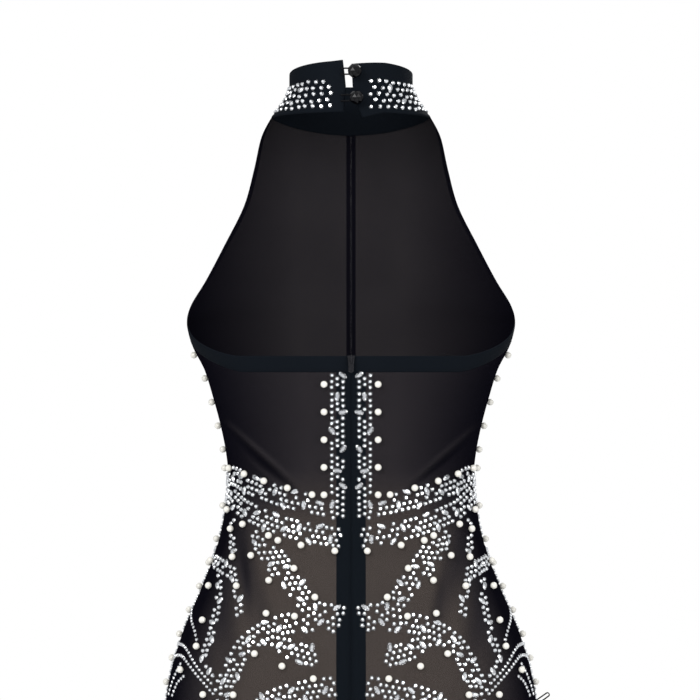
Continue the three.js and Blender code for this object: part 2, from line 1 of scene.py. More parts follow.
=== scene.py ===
# A halter romper of sheer black stretch mesh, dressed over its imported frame.
# The garment is worn but empty: a buttoned collar, open back, centre-back zip and short legs,
# with bands of silver stones and white pearls. Heights and widths are in millimetres
# from the middle of the collar, and become metres where a mesh is made.
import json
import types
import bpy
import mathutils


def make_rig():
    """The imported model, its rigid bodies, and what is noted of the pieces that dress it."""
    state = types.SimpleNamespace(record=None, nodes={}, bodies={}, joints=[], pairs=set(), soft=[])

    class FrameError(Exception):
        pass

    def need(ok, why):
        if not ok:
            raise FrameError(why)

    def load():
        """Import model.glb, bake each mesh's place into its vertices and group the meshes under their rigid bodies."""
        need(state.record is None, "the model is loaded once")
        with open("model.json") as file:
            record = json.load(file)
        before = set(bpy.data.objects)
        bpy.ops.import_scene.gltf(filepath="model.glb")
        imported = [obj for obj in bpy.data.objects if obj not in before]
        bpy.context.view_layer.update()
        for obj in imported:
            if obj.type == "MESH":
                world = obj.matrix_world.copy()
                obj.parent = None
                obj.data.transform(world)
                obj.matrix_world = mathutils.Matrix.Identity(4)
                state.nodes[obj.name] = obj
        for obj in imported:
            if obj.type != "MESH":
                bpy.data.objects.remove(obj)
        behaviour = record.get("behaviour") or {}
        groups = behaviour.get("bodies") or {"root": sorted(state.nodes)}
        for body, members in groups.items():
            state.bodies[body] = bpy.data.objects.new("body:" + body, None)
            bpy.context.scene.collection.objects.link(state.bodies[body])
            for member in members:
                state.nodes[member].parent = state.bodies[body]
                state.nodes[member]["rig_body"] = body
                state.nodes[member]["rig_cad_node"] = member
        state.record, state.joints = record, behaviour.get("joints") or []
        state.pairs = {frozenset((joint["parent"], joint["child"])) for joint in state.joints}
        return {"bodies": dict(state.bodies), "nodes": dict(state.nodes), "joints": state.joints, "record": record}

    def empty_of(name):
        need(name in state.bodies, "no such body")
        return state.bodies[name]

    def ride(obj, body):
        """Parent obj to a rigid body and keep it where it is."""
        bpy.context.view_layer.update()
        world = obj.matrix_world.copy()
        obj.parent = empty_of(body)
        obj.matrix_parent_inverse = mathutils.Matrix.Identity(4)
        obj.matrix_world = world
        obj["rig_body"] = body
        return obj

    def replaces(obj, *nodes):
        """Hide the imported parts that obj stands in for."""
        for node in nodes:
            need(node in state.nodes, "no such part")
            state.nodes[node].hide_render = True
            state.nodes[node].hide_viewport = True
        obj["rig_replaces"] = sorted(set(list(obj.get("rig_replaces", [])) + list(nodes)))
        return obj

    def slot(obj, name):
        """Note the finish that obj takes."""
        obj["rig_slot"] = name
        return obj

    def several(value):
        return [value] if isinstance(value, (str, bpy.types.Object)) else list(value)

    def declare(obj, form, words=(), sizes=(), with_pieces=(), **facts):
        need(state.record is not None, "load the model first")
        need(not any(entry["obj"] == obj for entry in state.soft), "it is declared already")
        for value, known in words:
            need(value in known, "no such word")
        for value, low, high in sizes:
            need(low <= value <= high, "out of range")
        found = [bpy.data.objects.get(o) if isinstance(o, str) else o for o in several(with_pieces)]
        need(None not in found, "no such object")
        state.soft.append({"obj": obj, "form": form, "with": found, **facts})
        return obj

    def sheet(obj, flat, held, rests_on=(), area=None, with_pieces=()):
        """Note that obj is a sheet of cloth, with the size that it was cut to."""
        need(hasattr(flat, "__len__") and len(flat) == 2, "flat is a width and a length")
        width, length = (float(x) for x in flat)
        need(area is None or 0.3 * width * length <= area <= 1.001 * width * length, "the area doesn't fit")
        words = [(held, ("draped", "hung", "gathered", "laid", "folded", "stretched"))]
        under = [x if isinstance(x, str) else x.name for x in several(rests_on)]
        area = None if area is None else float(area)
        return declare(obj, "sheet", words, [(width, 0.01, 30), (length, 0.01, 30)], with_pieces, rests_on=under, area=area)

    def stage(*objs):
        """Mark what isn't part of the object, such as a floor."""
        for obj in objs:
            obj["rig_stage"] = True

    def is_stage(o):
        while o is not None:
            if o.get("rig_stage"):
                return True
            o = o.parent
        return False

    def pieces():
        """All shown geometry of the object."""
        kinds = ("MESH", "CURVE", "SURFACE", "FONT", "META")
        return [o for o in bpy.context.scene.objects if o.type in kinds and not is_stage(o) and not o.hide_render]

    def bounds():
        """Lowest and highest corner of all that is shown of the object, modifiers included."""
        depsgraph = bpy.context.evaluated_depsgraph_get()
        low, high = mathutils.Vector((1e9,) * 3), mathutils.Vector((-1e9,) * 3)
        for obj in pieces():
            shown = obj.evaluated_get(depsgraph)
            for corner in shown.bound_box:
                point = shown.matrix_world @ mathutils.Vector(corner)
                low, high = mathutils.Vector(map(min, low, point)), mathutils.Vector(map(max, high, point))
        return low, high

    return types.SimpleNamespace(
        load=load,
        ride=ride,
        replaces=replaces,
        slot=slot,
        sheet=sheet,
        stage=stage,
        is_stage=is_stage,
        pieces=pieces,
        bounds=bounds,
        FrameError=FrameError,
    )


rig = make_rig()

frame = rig.load()

import json
import math

import bmesh
import bpy
import numpy as np
from mathutils import Vector

cad_low, cad_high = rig.bounds()


# The fronts and backs: four panels of black power mesh, one knitted layer each.
# They are cut close, sewn at the centre, the sides and inside the legs, and stretched
# a little in wear, so soft creases run from the waist to the hips.
MM = 0.001
QUARTER_TURN = math.pi / 2
SIDES = (("left", 1), ("right", -1))
SIDE_SEAM_Y = 15
BUST_Z = -204
SIDE_TOP_Z = -207.5
BACK_EDGE_Z = -234
EVEN_Z = -304
SEAT_Z = -545
CROTCH_Z = -612
HEM_Z = -692
INSEAM_AT_HEM = 9
LEG_DEPTH_SHARE = 0.87
EVEN_FROM_TURN = 0.5
SEAT_FULLNESS = 0.3
SEAM_PARTING = 0.01
MESH_THICKNESS = 0.5
CHEST_END_DROP = 20
CHEST_INSET = 0.4
EDGE_RISES_FROM = 0.5
EDGE_RISE_POWER = 1.4

# height, half width, depth before the side seams, depth behind them, squareness
SECTIONS = np.array([
    (-180, 147, 108, 90, 2.1),
    (-204, 145, 110, 88, 2.15),
    (-224, 140, 110, 86, 2.2),
    (-246, 129, 107, 84, 2.2),
    (-270, 121.5, 101, 81, 2.2),
    (-294, 115, 94, 79, 2.2),
    (-319, 110, 88, 77, 2.2),
    (-343, 108, 85, 77, 2.2),
    (-371, 111, 86, 80, 2.2),
    (-403, 118.5, 91, 86, 2.25),
    (-442, 133, 96, 96, 2.3),
    (-477, 148, 99, 106, 2.35),
    (-515, 159, 101, 114, 2.35),
    (-545, 163.5, 101, 118, 2.3),
    (-580, 166, 99, 118, 2.25),
    (-612, 165.5, 96, 112, 2.2),
    (-650, 162.5, 92, 102, 2.1),
    (-692, 158, 88, 96, 2.1),
])

# centre height, edge height, half width, depth, middle, where the cut edge stops in degrees
CHEST_SECTIONS = (
    (-52, -40, 86, 70, 2, 68),
    (-76, -68, 110, 79, 5, 52),
    (-104, -100, 131, 90, 8, 47),
    (-136, -134, 145, 101, 11, 51),
    (-166, -166, 149, 108, 13, 60),
    (-186, -190, 148, 110, 14.5, 74),
)

# Creases: face, side (1 left, -1 right, 0 both), from x and z, to x and z, half width, depth,
# which is less than 0 for a ridge
CREASES = (
    ("back", 0, 112, -300, 45, -352, 13, 1.1),
    ("back", 0, 108, -338, 62, -356, 12, 0.8),
    ("back", 0, 104, -372, 66, -486, 15, 2.2),
    ("back", 0, 122, -410, 96, -520, 16, 1.8),
    ("back", 1, 118, -291, 38, -359, 3.4, 3.8),
    ("back", 1, 112, -288, 42, -348, 4.5, -2.6),
    ("back", 1, 102, -313, 52, -354, 3.5, -1.5),
    ("back", -1, 118, -296, 44, -354, 3.4, 3.2),
    ("back", -1, 112, -292, 46, -347, 4.5, -2.3),
    ("back", 1, 96, -352, 30, -372, 6, 0.8),
    ("back", -1, 100, -356, 40, -378, 7, 0.9),
    ("back", 1, 96, -378, 86, -478, 7, 2.0),
    ("back", -1, 84, -396, 70, -478, 7, 1.1),
    ("back", -1, 60, -440, 48, -520, 8, 0.8),
    ("back", 1, 52, -452, 58, -530, 8, 0.7),
    ("back", 0, 20, -570, 120, -598, 7, 1.3),
    ("front", 0, 116, -286, 52, -344, 15, 2.4),
    ("front", 0, 104, -368, 60, -462, 16, 2.0),
    ("front", 1, 112, -300, 46, -330, 7, 1.0),
    ("front", -1, 108, -306, 60, -334, 6, 0.8),
    ("front", 1, 92, -360, 34, -372, 7, 0.9),
    ("front", -1, 90, -352, 40, -378, 8, 1.0),
    ("front", 0, 24, -578, 96, -556, 8, 1.2),
    ("front", 0, 120, -230, 84, -268, 9, 1.0),
)


def mix(start, end, share):
    return start + (end - start) * share


def clamp01(value):
    return np.clip(value, 0.0, 1.0)


def ease(share):
    """A share that starts and ends gently."""
    share = clamp01(share)
    return share**2 * (3 - 2 * share)


def through_four(before, start, end, after, share):
    """A smooth curve through four values, at a share of the way from the second to the third."""
    bend = 2 * before - 5 * start + 4 * end - after
    twist = 3 * (start - end) + after - before
    return start + 0.5 * ((end - before) * share + bend * share**2 + twist * share**3)


def section_at(z):
    """Half width, front depth, back depth and squareness at each height."""
    z = np.asarray(z, float)
    last = len(SECTIONS) - 1
    index = np.clip((SECTIONS[1:, 0] > z[..., None]).sum(-1), 0, last - 1)
    start, end = SECTIONS[index], SECTIONS[index + 1]
    before, after = SECTIONS[np.maximum(index - 1, 0)], SECTIONS[np.minimum(index + 2, last)]
    share = clamp01((z - start[..., 0]) / (end[..., 0] - start[..., 0]))[..., None]
    row = through_four(before, start, end, after, share)
    return row[..., 1], row[..., 2], row[..., 3], row[..., 4]


def trough_depth(troughs, x, z):
    """How deep soft troughs pull a surface in, each from one place to another on it."""
    depth = np.zeros(np.broadcast(x, z).shape)
    for from_x, from_z, to_x, to_z, half_width, deep in troughs:
        run_x, run_z = to_x - from_x, to_z - from_z
        length = math.hypot(run_x, run_z)
        along = ((x - from_x) * run_x + (z - from_z) * run_z) / length**2
        across = ((x - from_x) * run_z - (z - from_z) * run_x) / length
        inside = (along > 0) & (along < 1) & (np.abs(across) < half_width)
        profile = np.cos(QUARTER_TURN * across / half_width) ** 2
        depth += np.where(inside, deep * profile * np.sin(math.pi * clamp01(along)), 0)
    return depth


def crease_depth(face, side, x, z):
    here = [row[2:] for row in CREASES if row[0] == face and row[1] in (0, side)]
    return trough_depth(here, x, z)


def body_point(face, side, turn, z):
    """Points of the cloth. Turn is 0 at the centre seam and 1 at the side; side is 1 for the left."""
    turn, z = np.broadcast_arrays(np.asarray(turn, float), np.asarray(z, float))
    half_width, front, back, squareness = section_at(z)
    power = 2 / squareness
    depth = front if face == "front" else back
    angle = turn * QUARTER_TURN
    sag = clamp01((SEAT_Z - z) / (SEAT_Z - CROTCH_Z))
    at_seam = 1 - np.sqrt(1 - sag**2)
    leg_share = mix(at_seam, ease(sag), clamp01(turn / EVEN_FROM_TURN))
    inseam = INSEAM_AT_HEM * clamp01((CROTCH_Z - z) / (CROTCH_Z - HEM_Z))
    leg_half = (half_width - inseam) / 2
    cosine, sine = np.maximum(np.cos(angle), 0), np.sin(angle)
    leg_x = inseam + leg_half - leg_half * np.cos(2 * angle)
    leg_depth = depth * LEG_DEPTH_SHARE * np.abs(np.sin(2 * angle)) ** power
    x = mix(half_width * sine**power, leg_x, leg_share)
    fullness = 1 + SEAT_FULLNESS * leg_share * (1 - leg_share)
    from_seam = mix(depth * cosine**power, leg_depth, leg_share) * fullness
    from_seam = np.maximum(from_seam - crease_depth(face, side, x, z), 0) + SEAM_PARTING
    outward = -1 if face == "front" else 1
    y = SIDE_SEAM_Y + outward * from_seam
    return np.stack([side * np.maximum(x, SEAM_PARTING), y, z], axis=-1)


COLLAR = dict(
    half_width=54.5, half_depth=57, flare=16, flare_start=0.3, flare_power=1.7,
    front_flare_share=0.5, back_flare_share=0.12, side_top_z=15, top_rise=8.5,
    bottom_z=-23, back_bottom_rise=1.5, front_bottom_drop=13, front_drop_power=1.5,
)


def collar_point(angle, down):
    """Points of the collar. Angle is 0 at the front; down is 0 at its top edge and 1 at its seam."""
    c = COLLAR
    angle, down = np.broadcast_arrays(np.asarray(angle, float), np.asarray(down, float))
    forward, sideways = np.cos(angle), np.sin(angle)
    end_share = np.where(forward > 0, c["front_flare_share"], c["back_flare_share"])
    flare_share = mix(end_share, 1, sideways**2)
    flare_down = clamp01((down - c["flare_start"]) / (1 - c["flare_start"]))
    flare = c["flare"] * flare_share * flare_down ** c["flare_power"]
    top = c["side_top_z"] - c["top_rise"] * forward
    drop = c["front_bottom_drop"] * np.maximum(forward, 0) ** c["front_drop_power"]
    bottom = c["bottom_z"] + c["back_bottom_rise"] * np.maximum(-forward, 0) - drop
    x = (c["half_width"] + flare) * sideways
    y = -(c["half_depth"] + flare) * forward
    return np.stack([x, y, mix(top, bottom, down)], axis=-1)


def front_start_z(turn):
    return mix(BUST_Z, SIDE_TOP_Z, turn**2)


def chest_point(side, turn, down):
    """Points of a front above the bust. Down is 0 at the collar's seam and 1 at the bust."""
    turn, down = (np.array(values) for values in np.broadcast_arrays(turn, down))
    edge = collar_point(turn * QUARTER_TURN, 1)
    edge[..., 0] -= CHEST_INSET * np.sin(turn * QUARTER_TURN)
    edge[..., 1] += CHEST_INSET * np.cos(turn * QUARTER_TURN)
    edge[..., 2] -= SEAM_PARTING
    controls = [edge]
    for centre_z, edge_z, half_width, depth, middle, edge_turn in CHEST_SECTIONS:
        angle = turn * math.radians(edge_turn)
        line = (half_width * np.sin(angle), middle - depth * np.cos(angle), mix(centre_z, edge_z, turn**2))
        controls.append(np.stack(line, axis=-1))
    for below in (0, CHEST_END_DROP):
        controls.append(body_point("front", 1, turn, front_start_z(turn) - below))
    controls = np.stack(controls)
    spans = len(controls) - 2
    place = clamp01(down) * spans
    span = np.minimum(place.astype(int), spans - 1)
    every = np.arange(turn.size).reshape(turn.shape)
    flat = controls.reshape(len(controls), -1, 3)
    near = [flat[np.maximum(span + step, 0), every] for step in (-1, 0, 1, 2)]
    point = through_four(*near, (place - span)[..., None])
    point[..., 0] = side * np.maximum(point[..., 0], SEAM_PARTING)
    return point


def back_edge_at(turn):
    """The height of a back's top edge. It is level at the middle and rises towards the underarm."""
    rise = clamp01((turn - EDGE_RISES_FROM) / (1 - EDGE_RISES_FROM))
    return mix(BACK_EDGE_Z, SIDE_TOP_Z, rise**EDGE_RISE_POWER)


def unit(vectors):
    return vectors / np.maximum(np.linalg.norm(vectors, axis=-1, keepdims=True), 1e-9)


def distances(points, axis=0):
    """How far each point is along its line, from the line's first point."""
    steps = np.diff(points, axis=axis, prepend=np.take(points, [0], axis))
    return np.linalg.norm(steps, axis=-1).cumsum(axis)


def grid_normals(points):
    """The outward normals of a grid of points round the body."""
    normals = unit(np.cross(np.gradient(points, axis=0), np.gradient(points, axis=1)))
    away = points - [0, SIDE_SEAM_Y, 0]
    facing = np.sign((normals * away)[..., :2].sum(-1, keepdims=True))
    return normals * np.where(np.median(facing) < 0, -1, 1)


def new_object(name, mesh):
    made = bpy.data.objects.new(name, mesh)
    bpy.context.collection.objects.link(made)
    return made


def cloth_mesh(name, points, marks=None, flip=False, ring=False):
    """A sheet through a grid of points in millimetres, with its own UV in metres of cloth.

    Marks are extra numbers for each point, kept as attributes for the material. A ring's last
    column meets its first, and its two ends are closed.
    """
    rows, columns = points.shape[:2]
    index = np.arange(rows * columns).reshape(rows, columns)
    wrapped = np.concatenate([index, index[:, :1]], axis=1) if ring else index
    corners = [wrapped[:-1, :-1], wrapped[1:, :-1], wrapped[1:, 1:], wrapped[:-1, 1:]]
    if flip:
        corners.reverse()
    faces = np.stack(corners, axis=-1).reshape(-1, 4).tolist()
    if ring:
        faces += [index[0].tolist(), index[-1][::-1].tolist()]
    mesh = bpy.data.meshes.new(name)
    mesh.from_pydata((points.reshape(-1, 3) * MM).tolist(), [], faces)
    for mark, values in (marks or {}).items():
        attribute = mesh.attributes.new(mark, "FLOAT", "POINT")
        attribute.data.foreach_set("value", np.asarray(values, np.float32).ravel())
    uv = np.stack([distances(points, 1), distances(points, 0)], axis=-1).reshape(-1, 2) * MM
    layer = mesh.uv_layers.new(name="cloth")
    loops = np.zeros(len(mesh.loops), np.int32)
    mesh.loops.foreach_get("vertex_index", loops)
    layer.data.foreach_set("uv", uv[loops].astype(np.float32).ravel())
    mesh.shade_smooth()
    if ring:
        face_outward(mesh)
    return mesh


def cloth_piece(name, points, **options):
    return new_object(name, cloth_mesh(name, points, **options))


def face_outward(mesh):
    """Turns the faces of a closed mesh outward."""
    form = bmesh.new()
    form.from_mesh(mesh)
    bmesh.ops.recalc_face_normals(form, faces=form.faces)
    form.to_mesh(mesh)
    form.free()


def bake_modifiers(piece):
    evaluated = piece.evaluated_get(bpy.context.evaluated_depsgraph_get())
    mesh = bpy.data.meshes.new_from_object(evaluated)
    piece.modifiers.clear()
    old = piece.data
    piece.data = mesh
    bpy.data.meshes.remove(old)
    mesh.name = piece.name


def thicken(piece, thickness):
    """Gives a sheet its thickness inward and closes its rim, as a plain mesh."""
    solid = piece.modifiers.new("thickness", "SOLIDIFY")
    solid.thickness = thickness * MM
    solid.offset = -1
    solid.use_even_offset = False
    solid.use_rim = True
    bake_modifiers(piece)


def finished(piece, material, slot_name, body, *nodes):
    """Gives a piece its material, its slot, its body and the solids that it stands for."""
    if material is not None:
        piece.data.materials.append(material)
    if nodes:
        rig.replaces(piece, *nodes)
    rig.ride(piece, body)
    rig.slot(piece, slot_name)
    return piece


PANEL_COLUMNS = 84
CHEST_ROWS = 44
UPPER_ROWS = 36
TORSO_ROWS = 104
SEAT_ROWS = 26
LEG_ROWS = 26
BAND_HEIGHT = 14
HEM_DEPTH = 15
SEAM_ALLOWANCE = 4.0
STRIP_HALF_WIDTH = 12.5
# Painted shade and light: a crease's trough darkens the mesh towards its closed colour, and a ridge lightens it
# towards the open one
CREASE_PAINTED_SHADE = 0.2
RIDGE_PAINTED_LIGHT = 0.085
# How open the knit is, above the waist and on the hips, with painted light on the hips: the share of the
# half width where it starts to open, the share over which it opens, and how open it gets
OPENNESS_AND_HIP_LIGHT = ((0.98, 0.95), (0.65, 0.32), (0.3, 1.0))
OPENNESS_POWER = 1.2
OPENING_AND_LIGHT_Z = -325
OPENING_AND_LIGHT_HEIGHT = 70


def lower_heights():
    """Heights below the ribs. They stand closer together where the seat turns under."""
    torso = np.linspace(EVEN_Z, SEAT_Z, TORSO_ROWS + 1)[1:]
    seat = mix(SEAT_Z, CROTCH_Z, np.sin(np.linspace(0, QUARTER_TURN, SEAT_ROWS + 1)[1:]))
    legs = np.linspace(CROTCH_Z, HEM_Z, LEG_ROWS + 1)[1:]
    return np.concatenate([torso, seat, legs])


def panel_points(face, side):
    turn = np.linspace(0, 1, PANEL_COLUMNS + 1)[None, :]
    start = front_start_z(turn) if face == "front" else back_edge_at(turn) - BAND_HEIGHT
    upper = mix(start, EVEN_Z, np.linspace(0, 1, UPPER_ROWS + 1)[:, None])
    lower = np.broadcast_to(lower_heights()[:, None], (len(lower_heights()), turn.size))
    body = body_point(face, side, turn, np.concatenate([upper, lower]))
    if face == "back":
        return body
    down = np.linspace(0, 1, CHEST_ROWS + 1)[:-1, None]
    return np.concatenate([chest_point(side, turn, down), body])


def openness_and_hip_light(x, z):
    """How far the knit is stretched open: least at the sides, more on the hips than above, which also paints light
    onto the hips.
    """
    # Painted light: the hips are made lighter and warmer than the torso above
    hips = ease((OPENING_AND_LIGHT_Z - z) / OPENING_AND_LIGHT_HEIGHT)
    side_share, blend, most = (mix(*row, hips) for row in OPENNESS_AND_HIP_LIGHT)
    across = clamp01((side_share - x / section_at(np.minimum(z, BUST_Z))[0]) / blend)
    return most * across**OPENNESS_POWER


def panel_marks(face, side, points):
    """Numbers for the material: distance from seams, how open the knit is with painted shade in the creases and
    painted light on the ridges, and what backs it.
    """
    x, z = np.abs(points[..., 0]), points[..., 2]
    from_centre, from_top = distances(points, 1), distances(points, 0)
    above_hem = np.maximum(from_top[-1:] - from_top - HEM_DEPTH + SEAM_ALLOWANCE, 0)
    seam = np.minimum.reduce([from_centre, from_centre[:, -1:] - from_centre, above_hem])
    backed = np.where((face == "back") & (z >= SEAT_Z), from_centre, 2 * STRIP_HALF_WIDTH)
    folded = crease_depth(face, side, x, z)
    # Painted shade in the troughs and painted light on the ridges, carried in the open mark
    closed_and_crease_shade = clamp01(CREASE_PAINTED_SHADE * np.maximum(folded, 0))
    open_and_painted_light = openness_and_hip_light(x, z) * (1 - closed_and_crease_shade) + RIDGE_PAINTED_LIGHT * np.maximum(-folded, 0)
    return {"seam": seam, "open": open_and_painted_light, "backed": backed}


def node(tree, kind, inputs=None, **settings):
    made = tree.nodes.new(kind)
    for name, value in settings.items():
        setattr(made, name, value)
    for socket, value in (inputs or {}).items():
        if hasattr(value, "is_output"):
            tree.links.new(value, made.inputs[socket])
        else:
            made.inputs[socket].default_value = value
    return made


def new_material(name, **values):
    """A material, its tree and its Principled shader, with plain numbers set on the shader."""
    made = bpy.data.materials.new(name)
    made.use_nodes = True
    shader = made.node_tree.nodes["Principled BSDF"]
    for socket, value in values.items():
        shader.inputs[socket.replace("_", " ")].default_value = value
    return made, made.node_tree, shader


def math_node(tree, operation, *values):
    return node(tree, "ShaderNodeMath", dict(enumerate(values)), operation=operation).outputs[0]


def attribute(tree, name):
    return node(tree, "ShaderNodeAttribute", attribute_name=name).outputs["Fac"]


def mapped(tree, value, low, high, start=0.0, end=1.0):
    """A value's way from low to high, as a number from start to end."""
    return node(tree, "ShaderNodeMapRange", {0: value, 1: low, 2: high, 3: start, 4: end}).outputs[0]


def mixed_colour(tree, share, start, end):
    made = node(tree, "ShaderNodeMix", {0: share, 6: start, 7: end}, data_type="RGBA")
    return made.outputs[2]


def pattern(tree, kind, **values):
    """A pattern that runs through a piece's own space."""
    place = node(tree, "ShaderNodeTexCoord").outputs["Object"]
    return node(tree, kind, {"Vector": place, **values}).outputs[0]


def feed(shader, **values):
    """Links what other nodes give to a shader's sockets."""
    for socket, value in values.items():
        shader.id_data.links.new(value, shader.inputs[socket.replace("_", " ")])


def new_group(name, kind, inputs, outputs):
    """A node group with named inputs and outputs, and the sockets of its two ends."""
    group = bpy.data.node_groups.new(name, kind)
    for in_out, sockets in (("INPUT", inputs), ("OUTPUT", outputs)):
        for label, holds in sockets.items():
            group.interface.new_socket(label, in_out=in_out, socket_type=f"NodeSocket{holds}")
    return group, group.nodes.new("NodeGroupInput").outputs, group.nodes.new("NodeGroupOutput").inputs


# The knit that the mesh and the jersey share: wales and courses on the cloth's own UV.
def knit_group():
    knit_inputs = {"Wales per metre": "Float", "Courses per metre": "Float", "Cloudiness": "Float"}
    knit_outputs = {"Loops": "Float", "Clouds": "Float"}
    group, inner, outer = new_group("knit_surface", "ShaderNodeTree", knit_inputs, knit_outputs)
    uv = node(group, "ShaderNodeUVMap", uv_map="cloth").outputs[0]
    split = node(group, "ShaderNodeSeparateXYZ", {0: uv})
    waves = []
    for axis in range(2):
        turns = math_node(group, "MULTIPLY", split.outputs[axis], inner[axis])
        waves.append(math_node(group, "SINE", math_node(group, "MULTIPLY", turns, 2 * math.pi)))
    loops = math_node(group, "MULTIPLY_ADD", math_node(group, "MULTIPLY", *waves), 0.5, 0.5)
    clouds = pattern(group, "ShaderNodeTexNoise", Scale=14.0, Detail=4.0)
    middle = math_node(group, "SUBTRACT", clouds, 0.5)
    group.links.new(loops, outer[0])
    group.links.new(math_node(group, "MULTIPLY_ADD", middle, inner[2], 0.5), outer[1])
    return group


KNIT = knit_group()
KNIT_DEPTH = 0.0002


def knit(tree, strength, **sizes):
    """The knit's bump, its loops and its clouds, for a cloth's own sizes."""
    made = node(tree, "ShaderNodeGroup", node_tree=KNIT)
    for label, value in sizes.items():
        made.inputs[label.replace("_", " ")].default_value = value
    loops = made.outputs["Loops"]
    bump = node(tree, "ShaderNodeBump", {"Height": loops, "Strength": strength, "Distance": KNIT_DEPTH})
    return bump.outputs[0], loops, made.outputs["Clouds"]


# Power mesh reads as brown-black where it is stretched open and as blue-black where it is not. The same colours paint
# shade into the creases' troughs and light onto their ridges and the hips.
MESH_CLOSED = (0.0030, 0.0028, 0.0048, 1)
MESH_HALF_OPEN = (0.0156, 0.0138, 0.0156, 1)
MESH_OPEN = (0.0440, 0.0362, 0.0326, 1)
MESH_ON_STRIP = (0.0044, 0.0058, 0.0078, 1)
HALF_OPEN = 0.3
CLOSED_COVER = 0.985
OPEN_COVER = 0.84
HOLE_COVER = 0.1
# mark, where it stops, how softly
MESH_EDGES = (("seam", SEAM_ALLOWANCE, 0.4), ("backed", STRIP_HALF_WIDTH, 0.3))


def sheer_material():
    made, tree, shader = new_material("sheer_mesh", Roughness=0.7, Specular_IOR_Level=0.0)
    bump, loops, clouds = knit(
        tree, strength=0.25, Wales_per_metre=1250.0, Courses_per_metre=1400.0, Cloudiness=0.5,
    )
    seam, backed = (
        mapped(tree, attribute(tree, mark), edge, edge + softness, 1.0, 0.0)
        for mark, edge, softness in MESH_EDGES
    )
    closed_and_crease_shade = math_node(tree, "MAXIMUM", seam, backed)
    # The open mark brings painted shade in the creases and painted light on the ridges and hips into colour and cover
    open_and_painted_light = math_node(tree, "MULTIPLY", attribute(tree, "open"), math_node(tree, "ADD", clouds, 0.5))
    open_and_painted_light = math_node(tree, "MULTIPLY", open_and_painted_light, math_node(tree, "SUBTRACT", 1.0, closed_and_crease_shade))
    open_and_painted_light = node(tree, "ShaderNodeClamp", {0: open_and_painted_light}).outputs[0]
    colour = mixed_colour(tree, mapped(tree, open_and_painted_light, 0.0, HALF_OPEN), MESH_CLOSED, MESH_HALF_OPEN)
    colour = mixed_colour(tree, mapped(tree, open_and_painted_light, HALF_OPEN, 1.0), colour, MESH_OPEN)
    colour = mixed_colour(tree, backed, colour, MESH_ON_STRIP)
    cover = math_node(tree, "MULTIPLY_ADD", open_and_painted_light, OPEN_COVER - CLOSED_COVER, CLOSED_COVER)
    holes = math_node(tree, "MULTIPLY", math_node(tree, "SUBTRACT", loops, 0.5), open_and_painted_light)
    alpha = math_node(tree, "MULTIPLY_ADD", holes, HOLE_COVER, cover)
    feed(shader, Base_Color=colour, Normal=bump, Alpha=alpha)
    return made


SHEER = sheer_material()
FLAT_CUTS = {"front": dict(flat=(0.255, 0.72), area=0.1165), "back": dict(flat=(0.275, 0.51), area=0.0902)}
for face in ("front", "back"):
    for side_name, side in SIDES:
        points = panel_points(face, side)
        turned_in = (face == "front") != (side == 1)
        marks = panel_marks(face, side, points)
        panel = cloth_piece(f"{face}_panel_{side_name}", points, marks=marks, flip=turned_in)
        thicken(panel, MESH_THICKNESS)
        finished(panel, SHEER, "sheer_mesh", "garment", f"{face}_{side_name}")
        hangs_from = "collar_band" if face == "front" else f"back_edge_{side_name}"
        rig.sheet(panel, held="stretched", rests_on=[hangs_from], **FLAT_CUTS[face])


# The strips behind the centre-back seam: opaque black jersey, single and flat.
# They are sewn in behind the two backs, cover the closed zip and end above the seat.
STRIP_DEPTH = 0.9
STRIP_THICKNESS = 0.8
STRIP_ROWS = 96
STRIP_COLUMNS = 5
JERSEY = (0.0029, 0.0040, 0.0058, 1)
JERSEY_LIGHT = (0.00435, 0.0060, 0.0087, 1)


def jersey_material():
    made, tree, shader = new_material("opaque_jersey", Roughness=0.65, Specular_IOR_Level=0.02)
    bump, _, clouds = knit(
        tree, strength=0.3, Wales_per_metre=1500.0, Courses_per_metre=1900.0, Cloudiness=0.7,
    )
    feed(shader, Base_Color=mixed_colour(tree, clouds, JERSEY, JERSEY_LIGHT), Normal=bump)
    return made


JERSEY_CLOTH = jersey_material()


def turn_at_x(x, z):
    """The share of the quarter turn at which a section reaches a distance from the centre seam."""
    half_width, _, _, squareness = section_at(z)
    return np.arcsin(clamp01(np.asarray(x) / half_width) ** (squareness / 2)) / QUARTER_TURN


for side_name, side in SIDES:
    heights = np.linspace(BACK_EDGE_Z - BAND_HEIGHT / 2, SEAT_Z, STRIP_ROWS + 1)[:, None]
    widths = np.linspace(SEAM_PARTING, STRIP_HALF_WIDTH, STRIP_COLUMNS + 1)[None, :]
    points = body_point("back", side, turn_at_x(widths, heights), heights)
    points -= STRIP_DEPTH * grid_normals(points)
    strip = cloth_piece(f"centre_strip_cloth_{side_name}", points, flip=side == 1)
    thicken(strip, STRIP_THICKNESS)
    finished(strip, JERSEY_CLOTH, "opaque_jersey", "garment", f"centre_strip_{side_name}")
    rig.sheet(strip, flat=(0.0125, 0.316), held="stretched", rests_on=[f"back_panel_{side_name}"])


# The bands along the backs' top edges: opaque jersey, folded over the mesh and topstitched.
# Each runs from the zip to the underarm, where it rises to meet the front.
BAND_WALL = 1.4
BAND_ROWS = 8
FOLD_STEPS = 5


